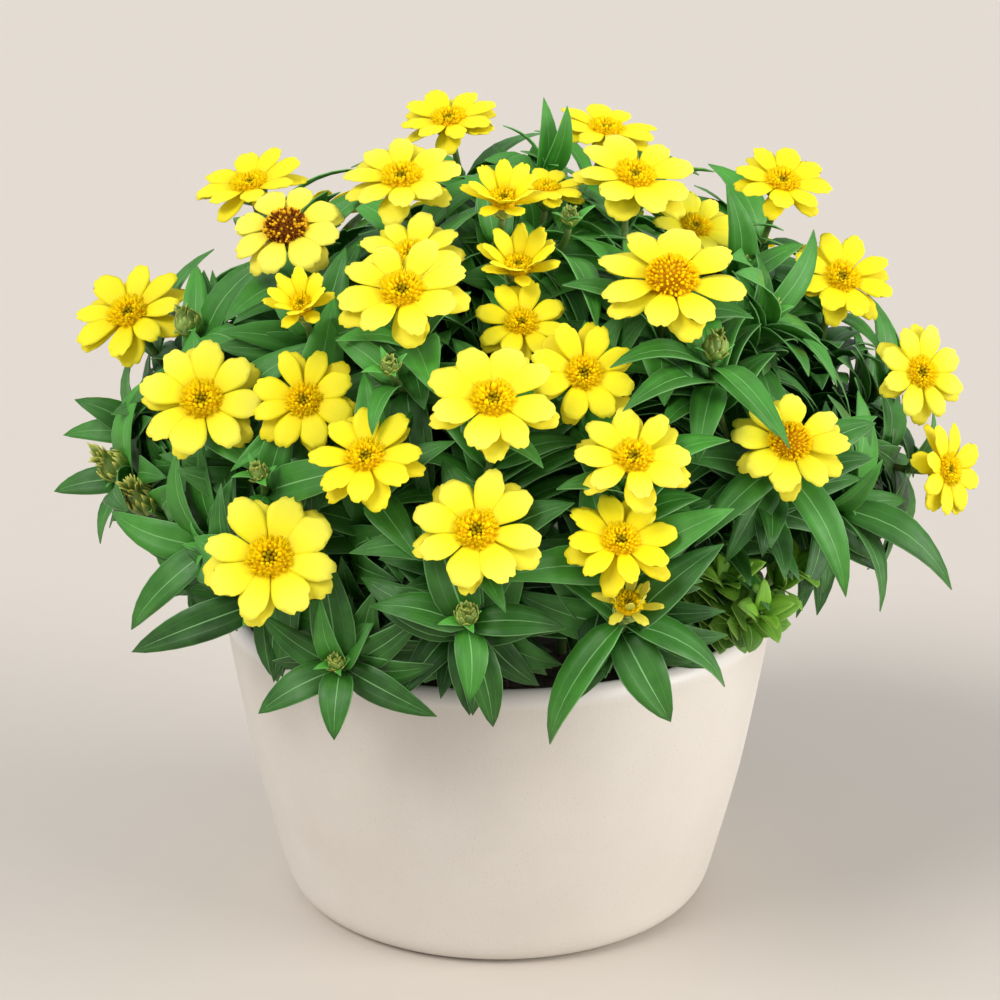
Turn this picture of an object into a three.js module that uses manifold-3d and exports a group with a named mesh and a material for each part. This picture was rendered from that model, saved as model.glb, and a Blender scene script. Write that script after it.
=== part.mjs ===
// A potted zinnia in flower: a cream bowl pot filled with soil, fifteen leafy stems that stand in
// it, forty flower heads on those stems, and one small companion sprig at the right of the rim.
// Millimetres. Z is up, the pot stands on Z = 0 and is centred on it, and the front is -Y.
import * as THREE from "three";
import Module from "manifold-3d";

const wasm = await Module();
wasm.setup();

// Pot and soil
const POT_SIDES = 32;
const POT_PROFILE = [
  [0, 0],
  [91, 0],
  [98.5, 6],
  [104, 24],
  [113.5, 63],
  [121, 105],
  [125, 131],
  [123.5, 137.5],
  [120.5, 139],
  [117.5, 136.5],
  [115, 118],
  [101, 50],
  [88, 12],
  [0, 12],
];
const SOIL_PROFILE = [
  [0, 12.4],
  [87.4, 12.4],
  [100.5, 50],
  [114.2, 117],
  [108, 122],
  [0, 126],
];
const HOLE_SIDES = 6;
const HOLE_RADIUS = 3.3;
const HOLE_FLOOR = 103;

// Stems
const STEM_SIDES = 4;
const STEM_FOOT = HOLE_FLOOR + 0.3;
const STEM_CLEAR = 130;
const LEADER_RADIUS = 2.5;
const SHOOT_RADIUS = 1.9;
const TIP_RADIUS = 1.5;
const LEADER_STEPS = 4;
const SHOOT_STEPS = 2;
const CALYX_HEIGHT = 7;
const SEAT_GAP = 0.3;
const CALYX_SHARE = 0.84;
const BUD_PROFILE = [
  [0.3, 1],
  [1.3, 0.85],
  [2.1, 0.35],
];
const CURVE_START = 0.4;
const CURVE_END = 0.3;
const RING_START = new THREE.Vector3(0.4, 1, 0.1);

// Flower heads
const PETAL_THICKNESS = 0.7;
const PETAL_REACH = 1.06;
const LAYER_GAP = 0.8;
const PETAL_WIDEST = 0.6;
const PETAL_CREST = 0.9;
const LOWER_CREST = 0.1;
const TIP_WIDTH = 0.52;
const LOWER_LENGTH = 0.97;
const LOWER_WIDTH = 0.9;
const HALF_WIDTHS = { 4: 0.4, 5: 0.33 };
const HEAD_SPIN = 2.4;
const DISC_RINGS = { inner: 0.5, outer: 1.04, edge: 1.6, slope: 0.35, wave: [0.5, 0.7], dip: 1.2 };

// Leaves
const BLADE_THICKNESS = 0.6;
const LEAF_FOLD = 0.28;
const LEAF_ARCH = 0.16;
const BLADE_MARKS = { wide: 0.42, upper: 0.76, upperWidth: 0.64, start: 1.4, free: 0.3, freeWidth: 0.8 };
const CLEARANCE = 0.35;
const SMALLEST_SHARED = 1e-4;

// The bush: leaves in pairs end within this middle and reach, and within a flare that widens above
// the rim. From the place of the front view, they leave this share of each head free.
const BUSH = { middle: [8, 0, 190], reach: [192, 182, 166], rim: 120, flare: 1.15, low: 138 };
const FRONT_VIEW = new THREE.Vector3(1, -959, 469);
const FREE_SHARE = 0.86;
const FREE_DEPTH = 3;
const ROOT_HEIGHT = 1.3;
const RING_SPACE = 0.15;
const LONG_SHOOT = 101;
const JOINT_SPACE = 6;
const LEAN_OUT = 0.003;
const NAMED_SHARES = [0.94, 0.84];
const CROSSED_FROM = 0.7;
const LEAF_PAIRS = {
  shares: { leader: [0.6, 0.86], long: [0.5, 0.82], shoot: [0.8] },
  length: 52,
  width: 17.5,
};
const SPRIG_PAIRS = {
  shares: { leader: [0.8, 0.96], long: [0.8, 0.96], shoot: [0.8, 0.96] },
  length: 13,
  width: 9,
};

// The spread of a leaf of a pair: each least value and what the draw adds to it at most. The
// outward share and the rise along the shoot make its slope, the aside its turn to either side.
const SPREAD = {
  length: [0.82, 0.36],
  flatRise: 0.16,
  steepRise: 0.42,
  addedRise: 0.26,
  aside: 0.6,
  outward: 0.85,
  width: [0.88, 0.24],
};
const FIRST_SEED = 1001;
const SEED_STEP = 17;

// Each kind of flower head: the rise of the petals in degrees at their foot and at their tip for
// the upper and the lower layer, the radius and height of the disc as shares of the radius, and
// the breadth of its petals beside those of an open head.
const KINDS = {
  open: { upper: [20, -4], lower: [4, -14], disc: 0.28, dome: 0.15, breadth: 1 },
  cone: { upper: [16, -6], lower: [2, -16], disc: 0.31, dome: 0.3, breadth: 1 },
  old: { upper: [10, -22], lower: [-4, -34], disc: 0.36, dome: 0.22, breadth: 1 },
  half: { upper: [56, 34], lower: [36, 14], disc: 0.28, dome: 0.12, breadth: 1 },
  faded: { upper: [62, 74], lower: [30, 4], disc: 0.34, dome: 0.12, breadth: 0.55 },
};

// Each flower head: where its seat is, the rise of its axis above level and its turn from the
// front toward +X in degrees, its radius, the petals in each of its two layers, and its kind.
const BLOOMS = [
  ["b07", [-37, -122, 303], 51, -8, 26, 5, "open"],
  ["b15", [68, -105, 304], 60, 5, 30, 5, "cone"],
  ["b24", [-2, -155, 268], 50, 0, 25.5, 5, "open"],
  ["b25", [-8, -172, 222], 42, -3, 25, 5, "open"],
  ["b29", [-88, -152, 205], 38, -4, 27, 5, "open"],
  ["b20", [115, -120, 242], 47, 4, 24.5, 4, "cone"],
  ["b28", [-118, -108, 257], 35, -4, 25.5, 5, "open"],
  ["b04", [-87, -62, 318], 51, -12, 24.5, 5, "old"],
  ["b12", [57, -36, 335], 59, 20, 26, 5, "open"],
  ["b21", [51, -157, 246], 52, 4, 23.5, 4, "open"],
  ["b26", [-50, -157, 246], 52, -8, 23, 4, "open"],
  ["b22", [46, -167, 216], 51, 8, 22.5, 4, "open"],
  ["b02", [-40, -48, 336], 60, -10, 25.5, 4, "open"],
  ["b05", [-162, -9, 271], 50, -24, 27, 4, "open"],
  ["b17", [151, -3, 286], 45, 12, 24, 4, "open"],
  ["b18", [184, -21, 248], 24, 24, 22.5, 4, "open"],
  ["b19", [195, -34, 208], 16, 46, 22, 4, "open"],
  ["b16", [125, 10, 326], 58, 14, 23.5, 4, "open"],
  ["b23", [33, -125, 272], 30, 8, 22, 4, "open"],
  ["b14", [9, -105, 287], 48, 3, 20, 4, "open"],
  ["b27", [-76, -120, 260], 30, -10, 22, 4, "open"],
  ["b08", [-35, -84, 310], 55, -8, 22, 4, "open"],
  ["b03", [-110, 14, 324], 66, -25, 25, 4, "open"],
  ["b01", [-22, 38, 350], 65, -20, 23.5, 4, "open"],
  ["b11", [48, 32, 346], 70, 25, 24, 4, "open"],
  ["b31", [84, -20, 311], 55, 25, 21, 4, "open"],
  ["b13", [8, -85, 306], 62, 0, 20, 4, "half"],
  ["b09", [2, -78, 332], 58, 5, 19, 4, "half"],
  ["b06", [-77, -112, 296], 50, -10, 16, 4, "half"],
  ["b10", [20, -38, 330], 75, 10, 17, 4, "open"],
  ["b30", [49, -170, 192], 60, 10, 15, 4, "faded"],
  ["k01", [-128, 88, 222], 45, -120, 24, 4, "open"],
  ["k02", [-85, 135, 262], 48, -145, 24, 4, "open"],
  ["k03", [-85, 85, 300], 62, -135, 24, 4, "open"],
  ["k04", [-22, 105, 302], 62, -170, 24, 4, "open"],
  ["k05", [-8, 165, 240], 45, 180, 25, 4, "open"],
  ["k06", [58, 98, 308], 62, 150, 24, 4, "open"],
  ["k07", [78, 145, 255], 48, 152, 24, 4, "open"],
  ["k08", [118, 85, 284], 55, 125, 23, 4, "open"],
  ["k09", [145, 98, 222], 42, 120, 23, 4, "open"],
];

// How far a petal may bend from its own rise, and how much of its length it may keep, to pass a
// neighbouring head, in the order in which they are tried.
const PETAL_BENDS = [
  [0, 1],
  [12, 1],
  [24, 1],
  [8, 0.85],
  [38, 0.95],
  [20, 0.75],
  [52, 0.9],
  [0, 0.7],
  [66, 0.85],
  [30, 0.6],
  [0, 0.55],
  [60, 0.55],
];

// Each stem: its foot in the soil, then its shoots. The first shoot is the leader, the others
// leave it at the given share of its length. A shoot ends at a flower head, or at a bud given by
// place, rise, turn and size. Its own leaves are given by their tips and widths.
const STEMS = [
  {
    name: "stem_01",
    foot: [-12, -80],
    shoots: [
      { end: "b25", from: 0 },
      { end: "b24", from: 0.5 },
      {
        end: [-12, -171, 187],
        aim: [50, 0],
        bud: 4.2,
        from: 0.35,
        leaves: [
          [[-49, -166, 191], 14],
          [[26, -169, 183], 14],
          [[-11, -183, 158], 13],
          [[-2, -166, 141], 14],
        ],
      },
    ],
  },
  {
    name: "stem_02",
    foot: [-47, -70],
    shoots: [
      { end: "b26", from: 0 },
      { end: "b29", from: 0.45 },
      {
        end: [-63, -154, 162],
        aim: [45, -10],
        bud: 3.2,
        from: 0.25,
        leaves: [
          [[-95, -152, 141], 14],
          [[-64, -167, 136], 14],
          [[-24, -160, 143], 14],
          [[-47, -152, 183], 12],
          [[-97, -144, 175], 12],
        ],
      },
    ],
  },
  {
    name: "stem_03",
    foot: [36, -76],
    shoots: [
      { end: "b22", from: 0 },
      { end: "b21", from: 0.55 },
      {
        end: "b30",
        from: 0.4,
        leaves: [
          [[67, -168, 144], 19],
          [[89, -156, 154], 18],
          [[20, -164, 133], 17],
        ],
      },
    ],
  },
  {
    name: "stem_04",
    foot: [70, -50],
    shoots: [
      {
        end: "b20",
        from: 0,
        leaves: [
          [[140, -124, 180], 15],
          [[90, -130, 196], 13],
          [[77, -138, 206], 14],
        ],
      },
      {
        end: [85, -112, 276],
        aim: [65, 10],
        bud: 3.6,
        from: 0.55,
        leaves: [
          [[43, -133, 277], 14],
          [[113, -124, 250], 13],
          [[77, -140, 240], 14],
          [[107, -154, 243], 12],
        ],
      },
    ],
  },
  {
    name: "stem_05",
    foot: [85, -8],
    shoots: [
      { end: "b18", from: 0 },
      { end: "b19", from: 0.5 },
      { end: "b17", from: 0.45 },
      {
        end: [147, -60, 200],
        aim: [30, 60],
        bud: 2.6,
        from: 0.3,
        leaves: [
          [[196, -62, 162], 17],
          [[163, -76, 157], 14],
          [[176, -66, 213], 14],
        ],
      },
    ],
  },
  {
    name: "stem_06",
    foot: [-74, -44],
    shoots: [
      { end: "b28", from: 0 },
      { end: "b27", from: 0.45 },
      { end: [-93, -132, 232], aim: [55, -20], bud: 2.8, from: 0.5 },
      { end: [-119, -105, 195], aim: [20, -60], from: 0.35, leaves: [[[-153, -99, 157], 15]] },
      { end: [-98, -119, 176], aim: [10, -50], from: 0.2, leaves: [[[-151, -112, 152], 16]] },
    ],
  },
  {
    name: "stem_07",
    foot: [-86, -4],
    shoots: [
      { end: "b05", from: 0 },
      {
        end: [-163, -32, 205],
        aim: [40, -60],
        bud: 5.6,
        from: 0.35,
        leaves: [
          [[-197, -27, 196], 13],
          [[-177, -48, 180], 13],
        ],
      },
      { end: [-149, -58, 197], aim: [50, -40], bud: 5.6, from: 0.4 },
      {
        end: [-160, -14, 219],
        aim: [25, -70],
        from: 0.45,
        leaves: [
          [[-188, -15, 235], 14],
          [[-196, -5, 216], 12],
        ],
      },
      {
        end: [-130, -45, 271],
        aim: [65, -40],
        bud: 4.2,
        from: 0.5,
        leaves: [
          [[-131, -18, 296], 11],
          [[-137, -34, 283], 11],
          [[-98, -30, 292], 11],
        ],
      },
    ],
  },
  {
    name: "stem_08",
    foot: [-50, -18],
    shoots: [
      { end: "b04", from: 0 },
      { end: "b03", from: 0.5 },
      { end: "b06", from: 0.55 },
    ],
  },
  {
    name: "stem_09",
    foot: [-14, -46],
    shoots: [
      { end: "b07", from: 0 },
      { end: "b08", from: 0.6 },
      { end: "b13", from: 0.55 },
      { end: "b14", from: 0.5 },
      { end: [-41, -140, 277], aim: [50, -10], bud: 2.6, from: 0.65 },
    ],
  },
  {
    name: "stem_10",
    foot: [28, -38],
    shoots: [
      { end: "b15", from: 0 },
      { end: "b12", from: 0.55 },
      { end: "b23", from: 0.5 },
      { end: "b31", from: 0.5 },
      {
        end: [112, -62, 283],
        aim: [60, 40],
        bud: 2.6,
        from: 0.5,
        leaves: [
          [[140, -78, 256], 13],
          [[157, -62, 246], 13],
          [[134, -34, 314], 12],
        ],
      },
    ],
  },
  {
    name: "stem_11",
    foot: [-6, -8],
    shoots: [
      { end: "b02", from: 0 },
      { end: "b09", from: 0.55 },
      { end: "b10", from: 0.5 },
      { end: [29, -70, 322], aim: [70, 10], bud: 2.6, from: 0.6 },
    ],
  },
  {
    name: "stem_12",
    foot: [14, 26],
    shoots: [
      { end: "b01", from: 0 },
      { end: "b11", from: 0.5 },
      {
        end: [22, 8, 334],
        aim: [80, 20],
        bud: 2.4,
        from: 0.6,
        leaves: [
          [[13, 6, 364], 11],
          [[30, 2, 362], 11],
        ],
      },
    ],
  },
  {
    name: "stem_13",
    foot: [62, 24],
    shoots: [
      { end: "b16", from: 0 },
      { end: "k08", from: 0.5 },
      { end: "k09", from: 0.35 },
      {
        end: [104, -26, 298],
        aim: [72, 30],
        bud: 2.4,
        from: 0.55,
        leaves: [
          [[89, -32, 331], 14],
          [[84, -44, 316], 14],
        ],
      },
    ],
  },
  {
    name: "stem_14",
    foot: [-50, 44],
    shoots: [
      { end: "k02", from: 0 },
      { end: "k03", from: 0.5 },
      { end: "k01", from: 0.4 },
    ],
  },
  {
    name: "stem_15",
    foot: [10, 70],
    shoots: [
      { end: "k05", from: 0 },
      { end: "k04", from: 0.45 },
      { end: "k06", from: 0.5 },
      { end: "k07", from: 0.4 },
    ],
  },
];

// The companion sprig: thin stems from one foot, with small round leaves.
const SPRIG = {
  name: "companion_sprig",
  foot: [80, -60],
  scale: 0.62,
  shoots: [
    { end: [109, -102, 166], aim: [50, 30], from: 0 },
    { end: [95, -88, 175], aim: [70, 20], from: 0 },
    { end: [126, -74, 176], aim: [60, 60], from: 0 },
  ],
};

// Colours
const PAINT = {
  pot: ["#e4dacb", 0.75],
  soil: ["#3a2b20", 1],
  petal: ["#f6cf12", 0.55],
  green: ["#55802f", 0.6],
  sprig: ["#8fb24a", 0.6],
};

const UP = new THREE.Vector3(0, 0, 1);

// A number drawn from a seeded sequence, between 0 and 1.
function makeDraw(seed) {
  let state = seed >>> 0;
  return () => {
    state = (Math.imul(state, 1664525) + 1013904223) >>> 0;
    return state / 4294967296;
  };
}

// A point from its three coordinates.
function at(x, y, z) {
  return new THREE.Vector3(x, y, z);
}

// The sum of a point and any number of [vector, factor] steps.
function along(point, ...steps) {
  const sum = point.clone();
  for (const [vector, factor] of steps) {
    sum.addScaledVector(vector, factor);
  }
  return sum;
}

// The unit vector that rises by one angle above level and turns by another from the front.
function heading(rise, turn) {
  const r = THREE.MathUtils.degToRad(rise);
  const t = THREE.MathUtils.degToRad(turn);
  return at(Math.cos(r) * Math.sin(t), -Math.cos(r) * Math.cos(t), Math.sin(r));
}

// A closed solid from its corners and triangles.
function solidOf(points, faces) {
  const mesh = new wasm.Mesh({
    numProp: 3,
    vertProperties: new Float32Array(points.flatMap((p) => [p.x, p.y, p.z])),
    triVerts: new Uint32Array(faces.flat()),
  });
  return new wasm.Manifold(mesh);
}

// The solid of a lathe geometry turned upright.
function turned(profile) {
  const points = profile.map(([r, z]) => new THREE.Vector2(r, z));
  const lathe = new THREE.LatheGeometry(points, POT_SIDES).rotateX(Math.PI / 2);
  const place = lathe.getAttribute("position");
  const index = lathe.getIndex();
  const corners = [];
  const seen = new Map();
  const same = [];
  for (let i = 0; i < place.count; i += 1) {
    const corner = new THREE.Vector3().fromBufferAttribute(place, i);
    const key = corner.toArray().map((value) => Math.round(value * 1000) + 0).join(" ");
    if (!seen.has(key)) {
      seen.set(key, corners.length);
      corners.push(corner);
    }
    same.push(seen.get(key));
  }
  const faces = [];
  for (let i = 0; i < index.count; i += 3) {
    const face = [0, 1, 2].map((step) => same[index.getX(i + step)]);
    if (new Set(face).size === 3) {
      faces.push(face);
    }
  }
  return solidOf(corners, faces);
}

// The geometry of a solid, ready for a mesh.
function geometryOf(solid) {
  const mesh = solid.getMesh();
  const place = new Float32Array(mesh.numVert * 3);
  for (let i = 0; i < mesh.numVert; i += 1) {
    const first = i * mesh.numProp;
    place.set(mesh.vertProperties.subarray(first, first + 3), i * 3);
  }
  const geometry = new THREE.BufferGeometry();
  geometry.setAttribute("position", new THREE.BufferAttribute(place, 3));
  geometry.setIndex(new THREE.BufferAttribute(new Uint32Array(mesh.triVerts), 1));
  geometry.computeVertexNormals();
  return geometry;
}

// A thin solid between an upper sheet and the lower sheet under it, closed along its outline.
function slab(upper, lower, faces, outline) {
  const count = upper.length;
  const all = faces.map((face) => [...face]);
  for (const [a, b, c] of faces) {
    all.push([a + count, c + count, b + count]);
  }
  outline.forEach((here, i) => {
    const next = outline[(i + 1) % outline.length];
    all.push([here, here + count, next + count], [here, next + count, next]);
  });
  return solidOf([...upper, ...lower], all);
}

// A solid that runs through rings with the same number of corners, with flat ends.
function loft(rings) {
  const sides = rings[0].length;
  const faces = [];
  for (let level = 0; level + 1 < rings.length; level += 1) {
    for (let i = 0; i < sides; i += 1) {
      const a = level * sides + i;
      const b = level * sides + ((i + 1) % sides);
      faces.push([a, b, b + sides], [a, b + sides, a + sides]);
    }
  }
  const last = (rings.length - 1) * sides;
  for (let i = 1; i + 1 < sides; i += 1) {
    faces.push([0, i + 1, i], [last, last + i, last + i + 1]);
  }
  return solidOf(rings.flat(), faces);
}

// A ring of corners round a point, square to an axis.
function ringAt(point, axis, start, radius, sides) {
  const across = start.clone().addScaledVector(axis, -start.dot(axis)).normalize();
  const over = axis.clone().cross(across);
  return Array.from({ length: sides }, (_, i) => {
    const angle = (i * 2 * Math.PI) / sides;
    return along(point, [across, radius * Math.cos(angle)], [over, radius * Math.sin(angle)]);
  });
}

// The four axes and sizes that place a flower head.
function makeHead([name, seat, rise, turn, radius, petals, kindName], order) {
  const kind = KINDS[kindName];
  const axis = heading(rise, turn);
  const across = UP.clone().cross(axis).normalize();
  const over = axis.clone().cross(across);
  return {
    name,
    kind,
    seat: at(...seat),
    axis,
    across,
    over,
    radius,
    petals,
    hub: radius * kind.disc,
    spin: order * HEAD_SPIN,
  };
}

// A point of a flower head from its angle, its distance from the axis and its height.
function headPoint(head, angle, distance, height) {
  return along(
    head.seat,
    [head.across, distance * Math.cos(angle)],
    [head.over, distance * Math.sin(angle)],
    [head.axis, height],
  );
}

// The corners of one petal, upper sheet: its foot, its widest part, its blunt tip, and its crest.
// The lower sheet has the same corners without the crest.
function petalCorners(head, layer, number, [bend, reach], ease) {
  const top = layer === "upper";
  const step = (2 * Math.PI) / head.petals;
  const first = head.spin + number * step + (top ? 0 : step / 2);
  const middle = first + step / 2;
  const [foot, tip] = head.kind[layer];
  const lean = top ? bend : -bend;
  const base = top ? 2 * PETAL_THICKNESS + LAYER_GAP : PETAL_THICKNESS;
  const full = (head.radius - head.hub) * PETAL_REACH;
  const length = full * reach * (top ? 1 : LOWER_LENGTH);
  const breadth = HALF_WIDTHS[head.petals] * head.kind.breadth;
  const half = head.radius * breadth * (top ? 1 : LOWER_WIDTH);
  const spot = (share, side, raise) => {
    const angle = THREE.MathUtils.degToRad(foot + lean + ((tip - foot) * share) / 2);
    const out = head.hub * Math.cos(step / 2) + length * share * Math.cos(angle);
    const height = base + raise + length * share * Math.sin(angle);
    const shift = Math.atan2(side, out);
    return headPoint(head, middle + shift, Math.hypot(out, side), height);
  };
  const wide = half + ease;
  const narrow = half * TIP_WIDTH + ease;
  const crest = top ? PETAL_CREST : LOWER_CREST;
  const sheet = (raise) => [
    headPoint(head, first, head.hub, base + raise),
    spot(PETAL_WIDEST, -wide, raise),
    spot(1, -narrow, raise),
    spot(1, narrow, raise),
    spot(PETAL_WIDEST, wide, raise),
    headPoint(head, first + step, head.hub, base + raise),
  ];
  return {
    upper: [...sheet(ease), spot(PETAL_WIDEST, 0, crest + ease)],
    lower: sheet(-PETAL_THICKNESS - ease),
  };
}

// A petal as a solid of its own, made larger by the clearance, to be tried against neighbours.
function petalTrial(head, layer, number, bend) {
  const { upper, lower } = petalCorners(head, layer, number, bend, CLEARANCE);
  const faces = [0, 1, 2, 3, 4, 5].map((i) => [6, i, (i + 1) % 6]);
  const under = [
    [0, 5, 4],
    [0, 4, 1],
    [1, 4, 3],
    [1, 3, 2],
  ];
  const all = [...faces, ...under.map((face) => face.map((i) => i + 7))];
  for (let i = 0; i < 6; i += 1) {
    const next = (i + 1) % 6;
    all.push([i, i + 7, next + 7], [i, next + 7, next]);
  }
  return solidOf([...upper, ...lower], all);
}

// The whole flower head as one closed surface: disc, upper petals, lower petals and seat.
function headSolid(head, bends) {
  const { petals, hub, spin } = head;
  const points = [];
  const faces = [];
  const add = (point) => points.push(point) - 1;
  const count = 2 * petals;
  const floor = 2 * PETAL_THICKNESS + LAYER_GAP;
  const rise = floor + head.radius * head.kind.dome;
  const apex = add(headPoint(head, 0, 0, rise - DISC_RINGS.dip));
  const discRing = (share, height, wave) =>
    Array.from({ length: count }, (_, i) => {
      const lift = i % 2 ? wave : -wave;
      return add(headPoint(head, spin + (i * Math.PI) / petals, hub * share, height + lift));
    });
  const [innerWave, outerWave] = DISC_RINGS.wave;
  const edge = floor + DISC_RINGS.edge + (rise - floor) * DISC_RINGS.slope;
  const inner = discRing(DISC_RINGS.inner, rise, innerWave);
  const outer = discRing(DISC_RINGS.outer, edge, outerWave);
  for (let i = 0; i < count; i += 1) {
    const next = (i + 1) % count;
    faces.push([apex, inner[i], inner[next]]);
    faces.push([inner[i], outer[i], outer[next]], [inner[i], outer[next], inner[next]]);
  }
  const layers = {};
  for (const layer of ["upper", "lower"]) {
    const shift = layer === "upper" ? 0 : Math.PI / petals;
    const height = layer === "upper" ? floor : PETAL_THICKNESS;
    const ring = (drop) =>
      Array.from({ length: petals }, (_, i) =>
        add(headPoint(head, spin + shift + (i * 2 * Math.PI) / petals, hub, height - drop)),
      );
    const above = ring(0);
    const below = ring(PETAL_THICKNESS);
    layers[layer] = { above, below };
    for (let i = 0; i < petals; i += 1) {
      const next = (i + 1) % petals;
      const corners = petalCorners(head, layer, i, bends[layer][i], 0);
      const over = [above[i], ...corners.upper.slice(1, 5).map(add), above[next]];
      const under = [below[i], ...corners.lower.slice(1, 5).map(add), below[next]];
      if (layer === "upper") {
        const crest = add(corners.upper[6]);
        over.forEach((corner, k) => faces.push([crest, corner, over[(k + 1) % 6]]));
      } else {
        faces.push([over[0], over[4], over[5]], [over[0], over[1], over[4]]);
        faces.push([over[1], over[3], over[4]], [over[1], over[2], over[3]]);
      }
      faces.push([under[0], under[5], under[4]], [under[0], under[4], under[1]]);
      faces.push([under[1], under[4], under[3]], [under[1], under[3], under[2]]);
      for (let k = 0; k < 5; k += 1) {
        faces.push([over[k], under[k], under[k + 1]], [over[k], under[k + 1], over[k + 1]]);
      }
    }
  }
  const { upper, lower } = layers;
  for (let i = 0; i < petals; i += 1) {
    const next = (i + 1) % petals;
    const [a, b, c] = [outer[2 * i], outer[2 * i + 1], outer[(2 * i + 2) % count]];
    faces.push([a, upper.above[i], b], [b, upper.above[i], upper.above[next]]);
    faces.push([b, upper.above[next], c]);
    faces.push([upper.below[i], lower.above[i], upper.below[next]]);
    faces.push([upper.below[next], lower.above[i], lower.above[next]]);
  }
  for (let i = 1; i + 1 < petals; i += 1) {
    faces.push([lower.below[0], lower.below[i + 1], lower.below[i]]);
  }
  return solidOf(points, faces);
}

// Everything placed so far, with its owner and its box, to try new blades against.
const placed = [];

function place(owner, solid) {
  placed.push({ owner, solid, box: solid.boundingBox() });
}

// Whether two boxes share any room.
function boxesMeet(a, b) {
  return [0, 1, 2].every((i) => a.min[i] <= b.max[i] && b.min[i] <= a.max[i]);
}

// Whether a solid is clear of all that is placed and that the test picks.
function isClear(solid, picks) {
  const box = solid.boundingBox();
  return placed.every((other) => {
    if (!picks(other) || !boxesMeet(box, other.box)) {
      return true;
    }
    const shared = solid.intersect(other.solid);
    const volume = shared.volume();
    shared.delete();
    return volume < SMALLEST_SHARED;
  });
}

// Flower heads, each petal bent or shortened where it would meet a head that stands already.
function makeBlooms() {
  return BLOOMS.map((row, order) => {
    const head = makeHead(row, order);
    const bends = { upper: [], lower: [] };
    for (const layer of ["upper", "lower"]) {
      for (let i = 0; i < head.petals; i += 1) {
        const fits = (bend) => isClear(petalTrial(head, layer, i, bend), () => true);
        bends[layer].push(PETAL_BENDS.find(fits) ?? PETAL_BENDS.at(-1));
      }
    }
    const solid = headSolid(head, bends);
    place(head.name, solid);
    return { head, solid };
  });
}

// A shoot's centre line, from where it leaves its leader or the soil to the calyx or bud.
function shootCurve(start, leave, end, axis) {
  const reach = start.distanceTo(end);
  return new THREE.CubicBezierCurve3(
    start,
    along(start, [leave, reach * CURVE_START]),
    along(end, [axis, -reach * CURVE_END]),
    end,
  );
}

// The ring of a shoot at a share of its length.
function shootRing(line, share) {
  const radius = line.thick + (TIP_RADIUS * line.scale - line.thick) * share;
  const axis = line.curve.getTangent(share);
  return ringAt(line.curve.getPoint(share), axis, RING_START, radius, STEM_SIDES);
}

// The foot of a leaf on one face of a shoot: its four corners, their middle, and the directions
// out of the face and across it.
function leafFoot(line, share, face) {
  const half = (ROOT_HEIGHT * line.scale) / 2 / line.length;
  const low = shootRing(line, share - half);
  const high = shootRing(line, share + half);
  const next = (face + 1) % STEM_SIDES;
  const corners = [low[face], low[next], high[next], high[face]];
  const root = along(at(0, 0, 0), ...corners.map((corner) => [corner, 0.25]));
  const axis = line.curve.getTangent(share);
  const across = high[face].clone().sub(high[next]).normalize();
  return { corners, root, axis, across, out: across.clone().cross(axis).negate() };
}

// A leaf blade: the corners of its upper and its lower sheet, arched between root and tip, and
// folded along its rib when it is full. Corners 0 and 1 are its root.
function bladeCorners({ root, tip, across, width, full }, ease, from) {
  const span = tip.clone().sub(root);
  const length = span.length();
  const side = across.clone().addScaledVector(span, -across.dot(span) / length ** 2).normalize();
  const crown = side.clone().cross(span).normalize();
  const upper = [];
  const lower = [];
  const add = (share, shift) => {
    const bow = LEAF_ARCH * length * 4;
    const slope = along(span, [crown, bow * (1 - 2 * share)]);
    const normal = side.clone().cross(slope).normalize();
    const lift = full ? Math.abs(shift) * LEAF_FOLD : 0;
    const spine = along(root, [span, share], [crown, bow * share * (1 - share)]);
    const point = along(spine, [side, shift], [normal, lift + ease]);
    upper.push(point);
    lower.push(along(point, [normal, -BLADE_THICKNESS - 2 * ease]));
  };
  const half = width / 2 + ease;
  const { wide, upper: high, upperWidth } = BLADE_MARKS;
  const start = from ? half * BLADE_MARKS.freeWidth : BLADE_MARKS.start + ease;
  add(from, -start);
  add(from, start);
  add(wide, half);
  if (full) {
    add(high, half * upperWidth);
  }
  add(1, 0);
  if (full) {
    add(high, -half * upperWidth);
  }
  add(wide, -half);
  if (full) {
    add(wide, 0);
  }
  return { upper, lower };
}

const PLAIN_BLADE = {
  faces: [
    [0, 1, 2],
    [0, 2, 4],
    [4, 2, 3],
  ],
  outline: [0, 1, 2, 3, 4],
};
const FULL_BLADE = {
  faces: [
    [0, 1, 7],
    [1, 2, 7],
    [0, 7, 6],
    [7, 2, 3],
    [7, 3, 4],
    [7, 4, 5],
    [7, 5, 6],
  ],
  outline: [0, 1, 2, 3, 4, 5, 6],
};

// A leaf blade as a solid of its own.
function bladeSolid(blade, ease, from) {
  const { upper, lower } = bladeCorners(blade, ease, from);
  const { faces, outline } = blade.full ? FULL_BLADE : PLAIN_BLADE;
  return slab(upper, lower, faces, outline);
}

// The ways in which a leaf may turn aside, as shares of its length sideways and up, and its size.
const LEAF_TURNS = [
  [0, 0, 1],
  [0.16, 0.05, 1],
  [-0.16, 0.05, 1],
  [0.1, -0.18, 0.95],
  [-0.1, 0.2, 0.95],
  [0.34, 0.1, 0.9],
  [-0.34, -0.1, 0.9],
  [0.05, 0.36, 0.85],
  [-0.05, -0.36, 0.85],
  [0, 0.05, 0.68],
  [0.3, 0.3, 0.62],
  [-0.3, -0.25, 0.62],
  [0.7, 0.1, 0.9],
  [-0.7, 0.1, 0.9],
  [0.5, -0.5, 0.85],
  [-0.5, 0.5, 0.85],
  [0.6, 0.4, 0.6],
  [-0.6, -0.4, 0.6],
];

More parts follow.
